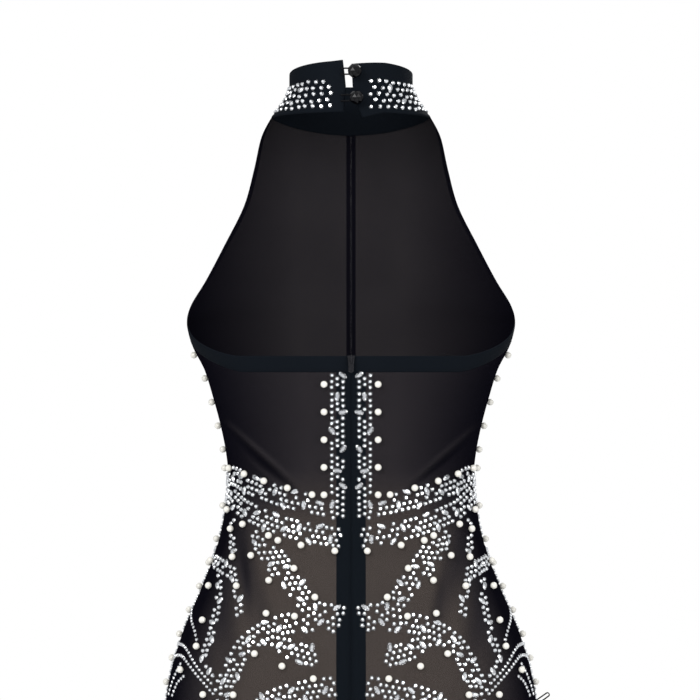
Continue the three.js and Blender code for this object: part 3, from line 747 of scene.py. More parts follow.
def folded_section(points, wall):
    """A closed ring round each column of a folded band: the outer face, a fold, the inner face, a fold."""
    normals = grid_normals(points)
    down = unit(np.gradient(points, axis=0))
    radius = wall / 2
    middle = points - radius * normals
    middle[0] += radius * down[0]
    middle[-1] -= radius * down[-1]
    arc = np.linspace(0, math.pi, FOLD_STEPS + 2)[1:-1]
    outer = list(middle + radius * normals)
    inner = list(middle - radius * normals)[::-1]
    low = [middle[-1] + radius * (math.cos(a) * normals[-1] + math.sin(a) * down[-1]) for a in arc]
    high = [middle[0] - radius * (math.cos(a) * normals[0] + math.sin(a) * down[0]) for a in arc]
    return np.stack(outer + low + inner + high, axis=1)


for side_name, side in SIDES:
    turn = np.linspace(0, 1, PANEL_COLUMNS + 1)[None, :]
    below = np.linspace(0, BAND_HEIGHT, BAND_ROWS + 1)[:, None]
    points = body_point("back", side, turn, back_edge_at(turn) - below)
    band = cloth_piece(f"back_band_{side_name}", folded_section(points, BAND_WALL), ring=True)
    finished(band, JERSEY_CLOTH, "opaque_jersey", "garment", f"back_edge_{side_name}")
    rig.sheet(band, flat=(0.19, 0.014), held="folded", rests_on=[f"back_panel_{side_name}"])


# The collar: a stand band of doubled jersey, 44 mm high, that flares over the shoulders.
# It opens at the centre back, where the right end's lower corner is turned out by its button.
COLLAR_WALL = 2.2
COLLAR_HEIGHT = 44
COLLAR_COLUMNS = 150
COLLAR_ROWS = 22
# share of the height, where the end's edge stands
LEFT_END = ((0, 7.5), (0.5, 4.7), (1, 6.4))
RIGHT_END = ((0, -0.4), (0.72, -2), (1, -9.9))
# end, share of the height, how far that reaches up or down, how far round, lift, drop
COLLAR_CORNERS = (
    ("right", 1, 0.2, 18, 4, 5),
    ("right", 0, 1.0, 30, 0, 3),
    ("left", 0, 0.6, 9, 0.5, -0.6),
)
# from x and z, to x and z, half width, depth
COLLAR_CREASES = (
    (-6, -10, -30, -17, 3.5, 1.1),
    (-8, -4, -24, 2, 4, 0.5),
    (-12, -14, -46, -12, 3, 0.5),
    (8, -8, 26, -4, 4, 0.5),
    (7, 10, 22, 16, 5, 0.5),
    (40, 12, 54, -14, 5, 0.7),
    (-38, 8, -54, -12, 5, 0.6),
)


def collar_points():
    down = np.linspace(0, 1, COLLAR_ROWS + 1)[:, None]
    left_x, right_x = (np.interp(down, *zip(*end)) for end in (LEFT_END, RIGHT_END))
    start = math.pi - np.arcsin(left_x / COLLAR["half_width"])
    stop = -math.pi - np.arcsin(right_x / COLLAR["half_width"])
    share = np.linspace(0, 1, COLLAR_COLUMNS + 1)[None, :]
    points = collar_point(mix(start, stop, share), down)
    behind = points[..., 1] > 0
    from_left = np.where((share < 0.5) & behind, points[..., 0] - left_x, np.inf)
    from_right = np.where((share > 0.5) & behind, right_x - points[..., 0], np.inf)
    from_end = {"left": from_left, "right": from_right}
    for end, height, span, reach, lift, drop in COLLAR_CORNERS:
        near = clamp01(1 - from_end[end] / reach) * clamp01(1 - np.abs(down - height) / span)
        points[..., 1] += lift * near
        points[..., 2] -= drop * near
    depth = trough_depth(COLLAR_CREASES, points[..., 0], points[..., 2]) * (points[..., 1] > 0)
    return points - depth[..., None] * grid_normals(points)


collar = cloth_piece("collar", folded_section(collar_points(), COLLAR_WALL), ring=True)
finished(collar, JERSEY_CLOTH, "opaque_jersey", "garment", "collar_band")
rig.sheet(collar, flat=(0.375, 0.044), held="folded", rests_on=["front_panel_left", "front_panel_right"])


# The collar's buttons: two faceted black glass balls on short shanks, sewn to the right end,
# and the elastic loops of black satin cord that reach over from the left end and catch them.
BALL_RADIUS = 6.3
BALL_STAND_OFF = 7.3
SHANK_RADIUS = 1.2
SHANK_START = 0.3
# name, place from the middle, height
BUTTONS = (("top", -3.2, 13.9), ("low", -4.8, -9.3))
LOOP_RADIUS = 0.7
LOOP_ROOT_X = 9
LOOP_SPREAD = 2.6
LOOP_CLEARANCE = 0.35
LOOP_LIFT = 0.3
BEND_STEPS = 8
CORD_STEPS = 5
TUBE_SIDES = 10
# A direction that no cord here starts in, from which its rings take their first side
TUBE_SIDE_FROM = (0.3, 0.2, 1.0)


def collar_back_y(x, z):
    angle = math.pi - math.asin(x / COLLAR["half_width"])
    top, bottom = collar_point(angle, 0)[2], collar_point(angle, 1)[2]
    return collar_point(angle, (top - z) / (top - bottom))[1]


def smooth_path(points, steps):
    """A Catmull-Rom curve through points, with a number of steps between each two."""
    points = np.asarray(points, float)
    padded = np.concatenate([points[:1], points, points[-1:]])
    share = np.linspace(0, 1, steps, endpoint=False)[:, None]
    spans = [through_four(*padded[i:i + 4, None, :], share) for i in range(len(points) - 1)]
    return np.concatenate([*spans, points[-1:]])


def tube_points(path, radius):
    """Rings round a path, each turned as little as it can be from the one before."""
    along = unit(np.gradient(path, axis=0))
    angle = np.linspace(0, 2 * math.pi, TUBE_SIDES, endpoint=False)[:, None]
    side = np.cross(along[0], TUBE_SIDE_FROM)
    rings = []
    for place, ahead in zip(path, along):
        side = unit(side - ahead * side.dot(ahead))
        up = np.cross(ahead, side)
        rings.append(place + radius * (np.cos(angle) * side + np.sin(angle) * up))
    return np.array(rings)


def heading(angle):
    return np.array([math.cos(angle), math.sin(angle)])


GLASS, _, _ = new_material(
    "black_glass", Base_Color=(0.001, 0.001, 0.0015, 1), Roughness=0.03, Specular_IOR_Level=0.16,
)


SATIN_DARK = (0.0015, 0.0015, 0.002, 1)
SATIN_LIGHT = (0.004, 0.004, 0.005, 1)


def satin_material():
    made, tree, shader = new_material("black_satin", Roughness=0.4, Specular_IOR_Level=0.06)
    ribs = pattern(tree, "ShaderNodeTexNoise", Scale=900.0, Detail=2.0)
    feed(shader, Base_Color=mixed_colour(tree, ribs, SATIN_DARK, SATIN_LIGHT))
    return made


SATIN = satin_material()


def mesh_from(form, name):
    mesh = bpy.data.meshes.new(name)
    form.to_mesh(mesh)
    form.free()
    return mesh


def ball_mesh(name, radius, subdivisions, middle):
    """A ball of flat triangles round a middle, both in millimetres."""
    form = bmesh.new()
    bmesh.ops.create_icosphere(form, subdivisions=subdivisions, radius=radius * MM)
    bmesh.ops.translate(form, verts=form.verts, vec=[value * MM for value in middle])
    return mesh_from(form, name)


def button_mesh(name, x, z):
    """A faceted ball and its shank in one mesh, standing out behind the collar."""
    y = collar_back_y(x, z)
    path = np.array([(x, y + SHANK_START, z), (x, y + BALL_STAND_OFF - BALL_RADIUS / 2, z)])
    ball = ball_mesh("ball", BALL_RADIUS, subdivisions=2, middle=(x, y + BALL_STAND_OFF, z))
    shank = cloth_mesh("shank", tube_points(path, SHANK_RADIUS), ring=True)
    form = bmesh.new()
    for mesh in (ball, shank):
        form.from_mesh(mesh)
        bpy.data.meshes.remove(mesh)
    return mesh_from(form, name)


def loop_path(x, z):
    turn_radius = SHANK_RADIUS + LOOP_CLEARANCE + LOOP_RADIUS
    flat = [(LOOP_ROOT_X, LOOP_SPREAD), ((LOOP_ROOT_X + x) / 2, LOOP_SPREAD)]
    angles = np.linspace(QUARTER_TURN, 3 * QUARTER_TURN, BEND_STEPS + 1)
    bend = [turn_radius * heading(angle) + (x, 0) for angle in angles]
    back = [(along, -up) for along, up in reversed(flat)]
    lift = LOOP_LIFT + LOOP_RADIUS
    return [(along, collar_back_y(along, z + up) + lift, z + up) for along, up in flat + bend + back]


for place, x, z in BUTTONS:
    button = new_object(f"glass_button_{place}", button_mesh(f"glass_button_{place}", x, z))
    finished(button, GLASS, "black_glass", "garment", f"collar_button_{place}")
    rings = tube_points(smooth_path(loop_path(x, z), CORD_STEPS), LOOP_RADIUS)
    loop = cloth_piece(f"elastic_loop_{place}", rings, ring=True)
    finished(loop, SATIN, "black_satin", "garment", f"button_loop_{place}")


# The zip: a concealed zip closes the centre back behind the strips. Its slider and flat pull tab
# of black metal stand at the top edge, and the tab hangs from the slider's bail.
COIL_TOP_Z = -240
COIL_LOW_Z = -432
COIL_PITCH = 1.3
COIL_DEPTH = 2.6
COIL_TILT = 0.35
TOOTH = (3.2, 0.8, 0.8)
METAL_DARK = (0.008, 0.008, 0.010, 1)
METAL_LIGHT = (0.022, 0.022, 0.025, 1)
METAL_ROUGHNESS = (0.18, 0.38)
BEVEL = 0.22
WELD = 0.001
FLAT_DEGREES = 1
SHARP_DEGREES = 40


def metal_material():
    made, tree, shader = new_material("black_metal", Metallic=0.85)
    grain = pattern(tree, "ShaderNodeTexNoise", Scale=700.0, Detail=3.0)
    feed(
        shader, Base_Color=mixed_colour(tree, grain, METAL_DARK, METAL_LIGHT),
        Roughness=mapped(tree, grain, 0.0, 1.0, *METAL_ROUGHNESS),
    )
    return made


METAL = metal_material()


def softened(name, node_name, body):
    """A finer copy of a small hard solid, its sharp edges rounded."""
    form = bmesh.new()
    form.from_mesh(frame["nodes"][node_name].data)
    bmesh.ops.remove_doubles(form, verts=form.verts, dist=WELD * MM)
    bmesh.ops.dissolve_limit(
        form, angle_limit=math.radians(FLAT_DEGREES), verts=form.verts, edges=form.edges, delimit=set(),
    )
    bmesh.ops.recalc_face_normals(form, faces=form.faces)
    piece = new_object(name, mesh_from(form, name))
    bevel = piece.modifiers.new("rounded", "BEVEL")
    bevel.width = BEVEL * MM
    bevel.segments = 2
    bevel.limit_method = "ANGLE"
    bevel.angle_limit = math.radians(SHARP_DEGREES)
    bake_modifiers(piece)
    finished(piece, METAL, "black_metal", body, node_name)


softened("slider_metal", "zip_slider", "garment")
softened("pull_tab_metal", "zip_pull", "pull_tab")


# What is set one by one on the cloth: coil teeth, stitches, stones and pearls.
# One Geometry Nodes tree puts a small template at each place, turned to face outward.
def setting_tree():
    takes = {
        "Places": "Geometry", "Piece": "Object", "Finish": "Material", "Wobble": "Float", "Seed": "Int",
    }
    tree, inner, outer = new_group("set_on_cloth", "GeometryNodeTree", takes, {"Pieces": "Geometry"})
    facing, along = (
        node(tree, "GeometryNodeInputNamedAttribute", {"Name": name}, data_type="FLOAT_VECTOR").outputs[0]
        for name in ("facing", "along")
    )
    turned = node(
        tree, "FunctionNodeAxesToRotation", {"Primary Axis": facing, "Secondary Axis": along},
        primary_axis="Z", secondary_axis="X",
    )
    low, high = (
        node(tree, "ShaderNodeCombineXYZ", {axis: most for axis in range(3)}).outputs[0]
        for most in (math_node(tree, "MULTIPLY", inner["Wobble"], -1.0), inner["Wobble"])
    )
    chance = node(
        tree, "FunctionNodeRandomValue", {0: low, 1: high, "Seed": inner["Seed"]},
        data_type="FLOAT_VECTOR",
    )
    angles = node(tree, "FunctionNodeEulerToRotation", {0: chance.outputs[0]})
    rotation = node(
        tree, "FunctionNodeRotateRotation",
        {"Rotation": turned.outputs[0], "Rotate By": angles.outputs[0]}, rotation_space="LOCAL",
    )
    template = node(tree, "GeometryNodeObjectInfo", {"Object": inner["Piece"]})
    placed = node(tree, "GeometryNodeInstanceOnPoints", {
        "Points": inner["Places"],
        "Instance": template.outputs["Geometry"],
        "Rotation": rotation.outputs[0],
    })
    real = node(tree, "GeometryNodeRealizeInstances", {0: placed.outputs[0]})
    dressed = node(tree, "GeometryNodeSetMaterial", {0: real.outputs[0], "Material": inner["Finish"]})
    tree.links.new(dressed.outputs[0], outer[0])
    return tree


SETTING = setting_tree()


def set_pieces(name, template, places, facing, along, material, wobble=0.0, seed=1):
    """One mesh of small pieces, each a copy of a template at its place on the cloth."""
    mesh = bpy.data.meshes.new(name)
    mesh.from_pydata((np.asarray(places) * MM).tolist(), [], [])
    for label, vectors in (("facing", facing), ("along", along)):
        held = mesh.attributes.new(label, "FLOAT_VECTOR", "POINT")
        held.data.foreach_set("vector", np.asarray(vectors, np.float32).ravel())
    piece = new_object(name, mesh)
    single = new_object(f"{name}_template", template)
    settings = piece.modifiers.new("set_on_cloth", "NODES")
    settings.node_group = SETTING
    socket = {item.name: item.identifier for item in SETTING.interface.items_tree if item.in_out == "INPUT"}
    for label, value in (("Piece", single), ("Finish", material), ("Wobble", wobble), ("Seed", seed)):
        settings[socket[label]] = value
    bake_modifiers(piece)
    bpy.data.objects.remove(single)
    return piece


ROD_SIDES = 6
# Where a rod's rings stand, in degrees round its rounded ends from one tip to the other
ROD_RINGS = (45, 90, 135)


def rod_template(length, width, height):
    """A short rod with rounded ends that lies along X with its middle on the cloth."""
    points = [(length / 2, 0, 0)]
    for degrees in ROD_RINGS:
        ahead, out = heading(math.radians(degrees))
        x = ahead * width / 2 + np.sign(round(ahead, 2)) * (length - width) / 2
        for angle in np.linspace(0, 2 * math.pi, ROD_SIDES, endpoint=False):
            y, z = out * heading(angle) * (width / 2, height / 2)
            points.append((x, y, z))
    points.append((-length / 2, 0, 0))
    starts = [1 + ring * ROD_SIDES for ring in range(len(ROD_RINGS))]
    faces = []
    for i in range(ROD_SIDES):
        j = (i + 1) % ROD_SIDES
        faces += [(0, starts[0] + i, starts[0] + j), (starts[-1] + j, starts[-1] + i, len(points) - 1)]
        faces += [(one + i, two + i, two + j, one + j) for one, two in zip(starts, starts[1:])]
    mesh = bpy.data.meshes.new("rod")
    mesh.from_pydata((np.array(points) * MM).tolist(), [], faces)
    face_outward(mesh)
    mesh.shade_smooth()
    return mesh


coil_z = np.arange(COIL_TOP_Z, COIL_LOW_Z, -COIL_PITCH)
coil = body_point("back", 1, 0, coil_z) * [0, 1, 1] - [0, COIL_DEPTH, 0]
inward = np.tile([0.0, -1.0, 0.0], (len(coil), 1))
sideways = np.tile([1.0, 0.0, COIL_TILT], (len(coil), 1))
teeth = set_pieces("zip_coil", rod_template(*TOOTH), coil, inward, sideways, SATIN)
finished(teeth, None, "black_satin", "garment")


# The loops: a short folded ribbon of satin stands out of the right side seam at the hip,
# and a fine thread loop is left on the back's top edge, where the right band is tacked.
RIBBON = dict(root_z=-539, thickness=4, depth=5, length=12, rise=0.62, wall=0.8, gap=0.3, steps=10)
THREAD_RADIUS = 0.25
# along the top edge, and above it
THREAD_LOOP = ((-76, -0.5), (-77, 1.4), (-80, 2.4), (-83, 1.2), (-84.5, 0.4), (-87, 0.9), (-89, -0.5))


def ribbon_points():
    r = RIBBON
    half = r["thickness"] / 2
    run = heading(r["rise"])
    roots = [r["root_z"] + sign * half / run[0] for sign in (-1, 1)]
    low, high, end = (np.array([float(section_at(z)[0]) + r["gap"], z]) for z in (*roots, r["root_z"]))
    end = end + run * r["length"]
    angles = r["rise"] + np.linspace(-QUARTER_TURN, QUARTER_TURN, r["steps"])
    bend = [end + half * heading(angle) for angle in angles]
    line = np.array([low, (low + bend[0]) / 2, *bend, (high + bend[-1]) / 2, high])
    edges = (SIDE_SEAM_Y - r["depth"] / 2, SIDE_SEAM_Y + r["depth"] / 2)
    return np.array([[(-out, y, up) for y in edges] for out, up in line])


ribbon = cloth_piece("hip_ribbon_loop", ribbon_points())
thicken(ribbon, RIBBON["wall"])
finished(ribbon, SATIN, "black_satin", "garment", "hip_loop")

thread = []
for x, up in THREAD_LOOP:
    turn = turn_at_x(-x, BACK_EDGE_Z)
    y = body_point("back", 1, turn, back_edge_at(turn))[1]
    thread.append((x, y - BAND_WALL / 2, back_edge_at(turn) + up))
rings = tube_points(smooth_path(thread, CORD_STEPS), THREAD_RADIUS)
thread_loop = cloth_piece("thread_loop", rings, ring=True)
finished(thread_loop, SATIN, "black_satin", "garment")


# The sewing: black thread, twin rows round the leg hems, one row under the back bands'
# lower edges and one inside the fronts' turned armhole edges.
STITCH = (2.6, 0.35, 0.35)
STITCH_PITCH = 3.4
HEM_ROWS = (12.0, 14.5)
BAND_ROW = 12.0
EDGE_ROW_TURN = 0.955
LINE_POINTS = 160
# Where the rows start and stop, as shares of the way from seam to seam and from collar to bust
SEAM_TO_SEAM = (0.004, 0.996)
COLLAR_TO_BUST = (0.02, 0.99)


def outward_at(points):
    """Outward directions round the body for a line of points on it."""
    away = np.asarray(points, float) - [0, SIDE_SEAM_Y, 0]
    away[:, 2] = 0
    return unit(away)


def places_at(at, run, points):
    """Places on a line of points, at distances along it."""
    return np.stack([np.interp(at, run, column) for column in points.T], axis=1)


def along_line(points, pitch):
    """Places at an even pitch along a line of points, and its direction there."""
    run = distances(points)
    at = np.arange(pitch, run[-1] - pitch, pitch)
    place, ahead = (places_at(at + step, run, points) for step in (0, pitch / 4))
    return place, ahead - place


rows = []
turns = np.linspace(*SEAM_TO_SEAM, LINE_POINTS)
downs = np.linspace(*COLLAR_TO_BUST, LINE_POINTS)
for _, side in SIDES:
    lines = [body_point(face, side, turns, HEM_Z + up) for face in ("front", "back") for up in HEM_ROWS]
    lines.append(body_point("back", side, turns, back_edge_at(turns) - BAND_ROW))
    lines.append(chest_point(side, np.full(LINE_POINTS, EDGE_ROW_TURN), downs))
    rows += [along_line(line, STITCH_PITCH) for line in lines]
places, along = (np.concatenate(column) for column in zip(*rows))
stitches = set_pieces("twin_stitches", rod_template(*STITCH), places, outward_at(places), along, SATIN)
finished(stitches, None, "black_satin", "garment")


# The stonework: silver foil-backed stones, round and pointed oval, and white pearls,
# heat-fixed to the cloth in rows that follow smooth runs, the same on both halves.
# The rows are laid by rule along each run, and a stone that would touch another is left out.
OVAL_LENGTH = 8.2
WIDTHS = {"oval": 4.8, "pearl": 6.0, "round": 4.2, "fine": 3.4}
STONE_HEIGHT = 1.7
ROW_GAP = 4.8
RANK_PITCH = 5.3
FINE_PITCH = 4.7
FILL_STEP = 1.2
FILL_PAST = 0.1
CLEAR = 0.1
FILL_CLEAR = 0.45
CENTRE_CLEAR = 2.3
OVAL_TILTS = (-55, 10, 78, -30, 40, -80)
OVAL_ROWS = (0.1, 0.65, 0.3, 0.9)
OVAL_END_SHARE = 0.8
JITTER = 0.2
RANK_START = 0.3
STAGGER = 0.5
RUN_STEPS = 24
RUN_SPACING = 0.5
BAND_CLEAR = 1.5
HEM_CLEAR = 1

# Places are (across, height). Across is the distance from the centre back as seen from behind,
# and past the side seam it counts on towards the centre front. Rows change evenly along a run.
# Ovals gives the ranks from one oval to the next. Pearls gives the side of the run they are on
# (1 left of its direction, -1 right), the distance to the first, their spacing, and how far out
# they are from the outer row.
RUNS = (
    dict(rows=(3,), ovals=3, pearls=(1, 14, 24, 6.5), places=((11.8, -244), (11.8, -376))),
    dict(rows=(4, 4, 3, 3, 3), ovals=2, pearls=(1, 14, 24, 0.5),
         places=((21, -364), (55, -357), (87, -346), (106, -338), (150, -342), (214, -352))),
    dict(rows=(4, 4, 4, 3, 3), ovals=2, pearls=(-1, 4, 29, 5),
         places=((8, -391), (43, -385), (64, -379), (91, -368), (108, -354), (150, -360), (214, -371))),
    dict(rows=(6, 5, 4, 4, 6), ovals=2, pearls=(-1, 16, 31, 1),
         places=((76, -383), (70, -403), (53, -426), (36, -448), (22, -456), (7, -462))),
    dict(rows=(3, 4, 4, 4, 3), ovals=2, pearls=None,
         places=((33, -464), (56, -464), (78, -473), (94, -487), (102, -504), (110, -520), (110, -537))),
    dict(rows=(2, 4, 4, 3), ovals=2, pearls=None, places=((70, -478), (56, -484), (42, -489), (28, -492))),
    dict(rows=(4, 4, 4, 3), ovals=2, pearls=(1, 18, 70, 1),
         places=((13, -516), (40, -520), (67, -528), (84, -542))),
    dict(rows=(2,), ovals=4, pearls=(-1, 8, 26, 0),
         places=((103, -376), (103, -414), (98, -442), (96, -459))),
    dict(rows=(2, 3, 2), ovals=3, pearls=(1, 7, 50, -2), places=((121, -412), (112, -417), (103, -426))),
    dict(rows=(2, 2, 1), ovals=3, pearls=None,
         places=((114, -424), (115, -446), (120, -472), (127, -496), (115, -514))),
)
# Lines of smaller stones, one row each
FINE_RUNS = (
    ((139, -457), (136, -472), (131, -490)),
    ((156, -500), (153, -489), (148, -486), (142, -490), (133, -503), (118, -518)),
    ((157, -507), (154, -498), (148, -495), (142, -500), (130, -513), (115, -528)),
    ((148, -502), (153, -512), (159, -530)),
    ((145, -512), (151, -519), (156, -532)),
)
# Pearls that stand alone between the runs, and those down the side seams
LONE_PEARLS = (
    (48, -458), (72, -456), (82, -490), (59, -500), (85, -407), (70, -428),
    (103, -385), (122, -435), (127, -464), (132, -486), (146, -507), (126, -526), (100, -525),
)
SIDE_PEARLS = dict(spans=((-232, -318), (-396, -534)), spacing=21, past=0.25)
SIDE_ROWS = dict(rows=(2,), ovals=6, top=-336, low=-560, step=32, past=0.2)

UNROLL_HEIGHTS = np.arange(-700.0, -206.0, 4.0)
UNROLL_LAPS = np.linspace(0, 2, 241)


def lap_point(side, lap, z):
    """Points all the way round: lap is 0 at the centre back, 1 at the side and 2 at the centre front."""
    lap = np.asarray(lap, float)
    back = body_point("back", side, np.minimum(lap, 1), z)
    front = body_point("front", side, np.minimum(2 - lap, 1), z)
    return np.where((lap <= 1)[..., None], back, front)


UNROLLED = distances(lap_point(1, *np.meshgrid(UNROLL_LAPS, UNROLL_HEIGHTS)), axis=1)


def unrolled_row(z):
    """How far round the cloth each lap is at one height."""
    place = np.interp(z, UNROLL_HEIGHTS, np.arange(len(UNROLL_HEIGHTS)))
    row = min(int(place), len(UNROLL_HEIGHTS) - 2)
    return mix(UNROLLED[row], UNROLLED[row + 1], place - row)


def on_cloth(across, z):
    """A place of the tables as a distance round the cloth and a height."""
    half_width = float(section_at(z)[0])
    seen = turn_at_x(min(across, 2 * half_width - across), z)
    lap = seen if across <= half_width else 2 - seen
    return np.array([np.interp(lap, UNROLL_LAPS, unrolled_row(z)), z])


def lap_at(places):
    return np.array([np.interp(w, unrolled_row(z), UNROLL_LAPS) for w, z in places])


def run_line(places):
    """A smooth run in the unrolled cloth: its distances, its places and its directions."""
    rough = smooth_path([on_cloth(*place) for place in places], RUN_STEPS)
    run = distances(rough)
    at = np.arange(0, run[-1], RUN_SPACING)
    line = places_at(at, run, rough)
    return at, line, unit(np.gradient(line, axis=0))


def stand_at(run, line, distance):
    """The place a distance along a run, its direction, its left side, and the rows there."""
    at, places, directions = line
    index = min(int(distance / RUN_SPACING), len(at) - 1)
    rows = np.interp(distance, np.linspace(0, at[-1], len(run["rows"])), run["rows"])
    across, up = directions[index]
    return places[index], directions[index], np.array([-up, across]), rows


def on_open_cloth(w, z, size):
    """Whether a stone is clear of the centre seams, the top band and the hem."""
    row = unrolled_row(z)
    lap = float(np.interp(w, row, UNROLL_LAPS))
    from_centre = min(w, row[-1] - w) - size
    under_band = lap > 1 or z + size < back_edge_at(lap) - BAND_HEIGHT + BAND_CLEAR
    return from_centre > CENTRE_CLEAR and under_band and z - size > HEM_Z + HEM_CLEAR


class Layout:
    """Places in the unrolled cloth, none closer to another than their sizes allow."""

    def __init__(self):
        self.discs = np.zeros((0, 3))
        self.kept = {kind: [] for kind in WIDTHS}

    def add(self, kind, place, direction, clear=CLEAR):
        radius = WIDTHS[kind] / 2
        reach = (OVAL_LENGTH - WIDTHS["oval"]) / 2 if kind == "oval" else 0
        steps = (-reach, 0, reach) if reach else (0,)
        discs = np.array([
            (*(place + step * direction), radius * (OVAL_END_SHARE if step else 1)) for step in steps
        ])
        for w, z, size in discs:
            gaps = np.hypot(self.discs[:, 0] - w, self.discs[:, 1] - z) - self.discs[:, 2] - size
            if (gaps < clear).any() or not on_open_cloth(w, z, size):
                return
        self.discs = np.concatenate([self.discs, discs])
        self.kept[kind].append((*place, *direction))


def turned(direction, degrees):
    cosine, sine = heading(math.radians(degrees))
    across, up = direction
    return np.array([across * cosine - up * sine, across * sine + up * cosine])


def rank_places(run, line, chance):
    """Each rank's rows across a run: rank, row, rows, place and direction, alternate rows staggered."""
    for rank in range(int(line[0][-1] / RANK_PITCH)):
        rows = int(round(stand_at(run, line, rank * RANK_PITCH)[3]))
        for row in range(rows):
            ranks = rank + RANK_START + STAGGER * (row % 2)
            place, direction, left, _ = stand_at(run, line, ranks * RANK_PITCH)
            offset = (row - (rows - 1) / 2) * ROW_GAP
            yield rank, row, rows, place + offset * left + chance.uniform(-JITTER, JITTER, 2), direction


def pearl_places(run, line):
    """Places beside a run for its pearls, if it has any."""
    if run["pearls"] is None:
        return
    side, first, spacing, out = run["pearls"]
    for distance in np.arange(first, line[0][-1], spacing):
        place, direction, left, rows = stand_at(run, line, distance)
        yield place + side * ((rows - 1) / 2 * ROW_GAP + out) * left, direction


def fill_places(run, line):
    """Places close together all over a run, for stones in the room that its rows leave."""
    for distance in np.arange(0, line[0][-1], FILL_STEP):
        place, direction, left, rows = stand_at(run, line, distance)
        half = (rows - 1) / 2 * ROW_GAP
        for offset in np.arange(-half, half + FILL_PAST, FILL_STEP):
            yield place + offset * left, direction


def side_places():
    """The run of stones down a side seam, and the places of the pearls there."""
    heights = np.arange(SIDE_ROWS["top"], SIDE_ROWS["low"] - 1, -SIDE_ROWS["step"])
    places = [(float(section_at(z)[0]) + SIDE_ROWS["past"], z) for z in heights]
    pearls = [
        (float(section_at(z)[0]) + SIDE_PEARLS["past"], z)
        for high, low in SIDE_PEARLS["spans"] for z in np.arange(high, low, -SIDE_PEARLS["spacing"])
    ]
    return dict(rows=SIDE_ROWS["rows"], ovals=SIDE_ROWS["ovals"], pearls=None, places=places), pearls


def lay_stones(seed):
    """Pearls first, then ovals, round stones in rows, fine lines, and stones in the room left."""
    chance = np.random.default_rng(seed)
    layout = Layout()
    side_run, side_pearls = side_places()
    runs = (*RUNS, side_run)
    lines = [run_line(run["places"]) for run in runs]
    ranks = [list(rank_places(run, line, chance)) for run, line in zip(runs, lines)]
    for place in (*LONE_PEARLS, *side_pearls):
        layout.add("pearl", on_cloth(*place), np.array([1.0, 0.0]))
    for run, line in zip(runs, lines):
        for place, direction in pearl_places(run, line):
            layout.add("pearl", place, direction)
    for number, (run, places) in enumerate(zip(runs, ranks)):
        for rank, row, rows, place, direction in places:
            turn = number + rank // run["ovals"]
            if rank % run["ovals"] == 1 and row == int(OVAL_ROWS[turn % len(OVAL_ROWS)] * rows):
                layout.add("oval", place, turned(direction, OVAL_TILTS[turn % len(OVAL_TILTS)]))
    for places in ranks:
        for _, _, _, place, direction in places:
            layout.add("round", place, direction)
    for places in FINE_RUNS:
        _, line, directions = run_line(places)
        for index in range(0, len(line), int(FINE_PITCH / RUN_SPACING)):
            layout.add("fine", line[index], directions[index])
    for run, line in zip(runs, lines):
        for place, direction in fill_places(run, line):
            layout.add("round", place, direction, FILL_CLEAR)
    return layout.kept


# A stone's rings of corners, from its back to its table: share of the width, share of the height,
# and whether the ring is turned by half a side
STONE_RINGS = ((1, 0, 0), (1, 0.2, 0), (0.8, 0.5, 1), (0.56, 1, 0))
# Its facets, all the way round: corners as (ring, steps on), painted shade for their reflections (None for the
# cut's own rim shade), how much darker some are painted, every how many of them, and the first of those
STONE_FACETS = (
    (((0, 0), (0, 1), (1, 1), (1, 0)), 0.9, 0, 1, 0),
    (((1, 0), (1, 1), (2, 0)), None, 0.4, 2, 1),
    (((1, 1), (2, 1), (2, 0)), None, 0.3, 3, 0),
    (((2, 0), (2, 1), (3, 1)), 0.15, 0.3, 2, 1),
    (((3, 0), (2, 0), (3, 1)), 0.05, 0.35, 3, 1),
)
# kind: length, number of sides, how far the outline bulges, painted shade of the table and of the rim, wobble
STONE_CUTS = {
    "round": (WIDTHS["round"], 8, 1.0, 0.0, 0.45, 0.09),
    "fine": (WIDTHS["fine"], 8, 1.0, 0.0, 0.45, 0.09),
    "oval": (OVAL_LENGTH, 10, 1.05, 0.4, 0.1, 0.05),
}
STONE_BRIGHT = (0.99, 0.99, 0.995, 1)
STONE_GREY = (0.72, 0.74, 0.77, 1)
# Painted dark: the dark cloth's reflection on the facets and the shade at the girdle
STONE_PAINTED_DARK = (0.012, 0.014, 0.018, 1)
STONE_ROUGHNESS = (0.08, 0.15)
# How high a pearl's middle stands, in radii, so that a flat of glue is hidden under it
PEARL_MIDDLE = 0.92


def cut_stone(length, width, sides, power, table_painted_shade, rim_painted_shade):
    """A flat-backed stone: a thin girdle, two rings of facets and a flat table.

    Each face has a painted shade for the material: 0 paints a bright reflection of the light, and 1 paints the dark
    cloth's reflection and the shade at the girdle.
    """
    height = STONE_HEIGHT * width / WIDTHS["round"]
    angle = np.linspace(0, 2 * math.pi, sides, endpoint=False)
    points = []
    for scale, up, half_turned in STONE_RINGS:
        a = angle + half_turned * math.pi / sides
        x = length / 2 * np.cos(a)
        y = width / 2 * np.sign(np.sin(a)) * np.abs(np.sin(a)) ** power
        points.append(np.stack([x * scale, y * scale, np.full(sides, height * up)], axis=1))
    back, *_, table = np.arange(len(STONE_RINGS) * sides).reshape(-1, sides).tolist()
    faces = [(back[::-1], 1.0), (table, table_painted_shade)]
    for i in range(sides):
        for corners, tone, darker, every, first in STONE_FACETS:
            own_painted_shade = rim_painted_shade if tone is None else tone
            face = [ring * sides + (i + step) % sides for ring, step in corners]
            faces.append((face, own_painted_shade + darker * (i % every == first)))
    mesh = bpy.data.meshes.new("cut_stone")
    mesh.from_pydata((np.concatenate(points) * MM).tolist(), [], [face for face, _ in faces])
    painted_facet_shades = mesh.attributes.new("tone", "FLOAT", "FACE")
    painted_facet_shades.data.foreach_set("value", [tone for _, tone in faces])
    face_outward(mesh)
    return mesh


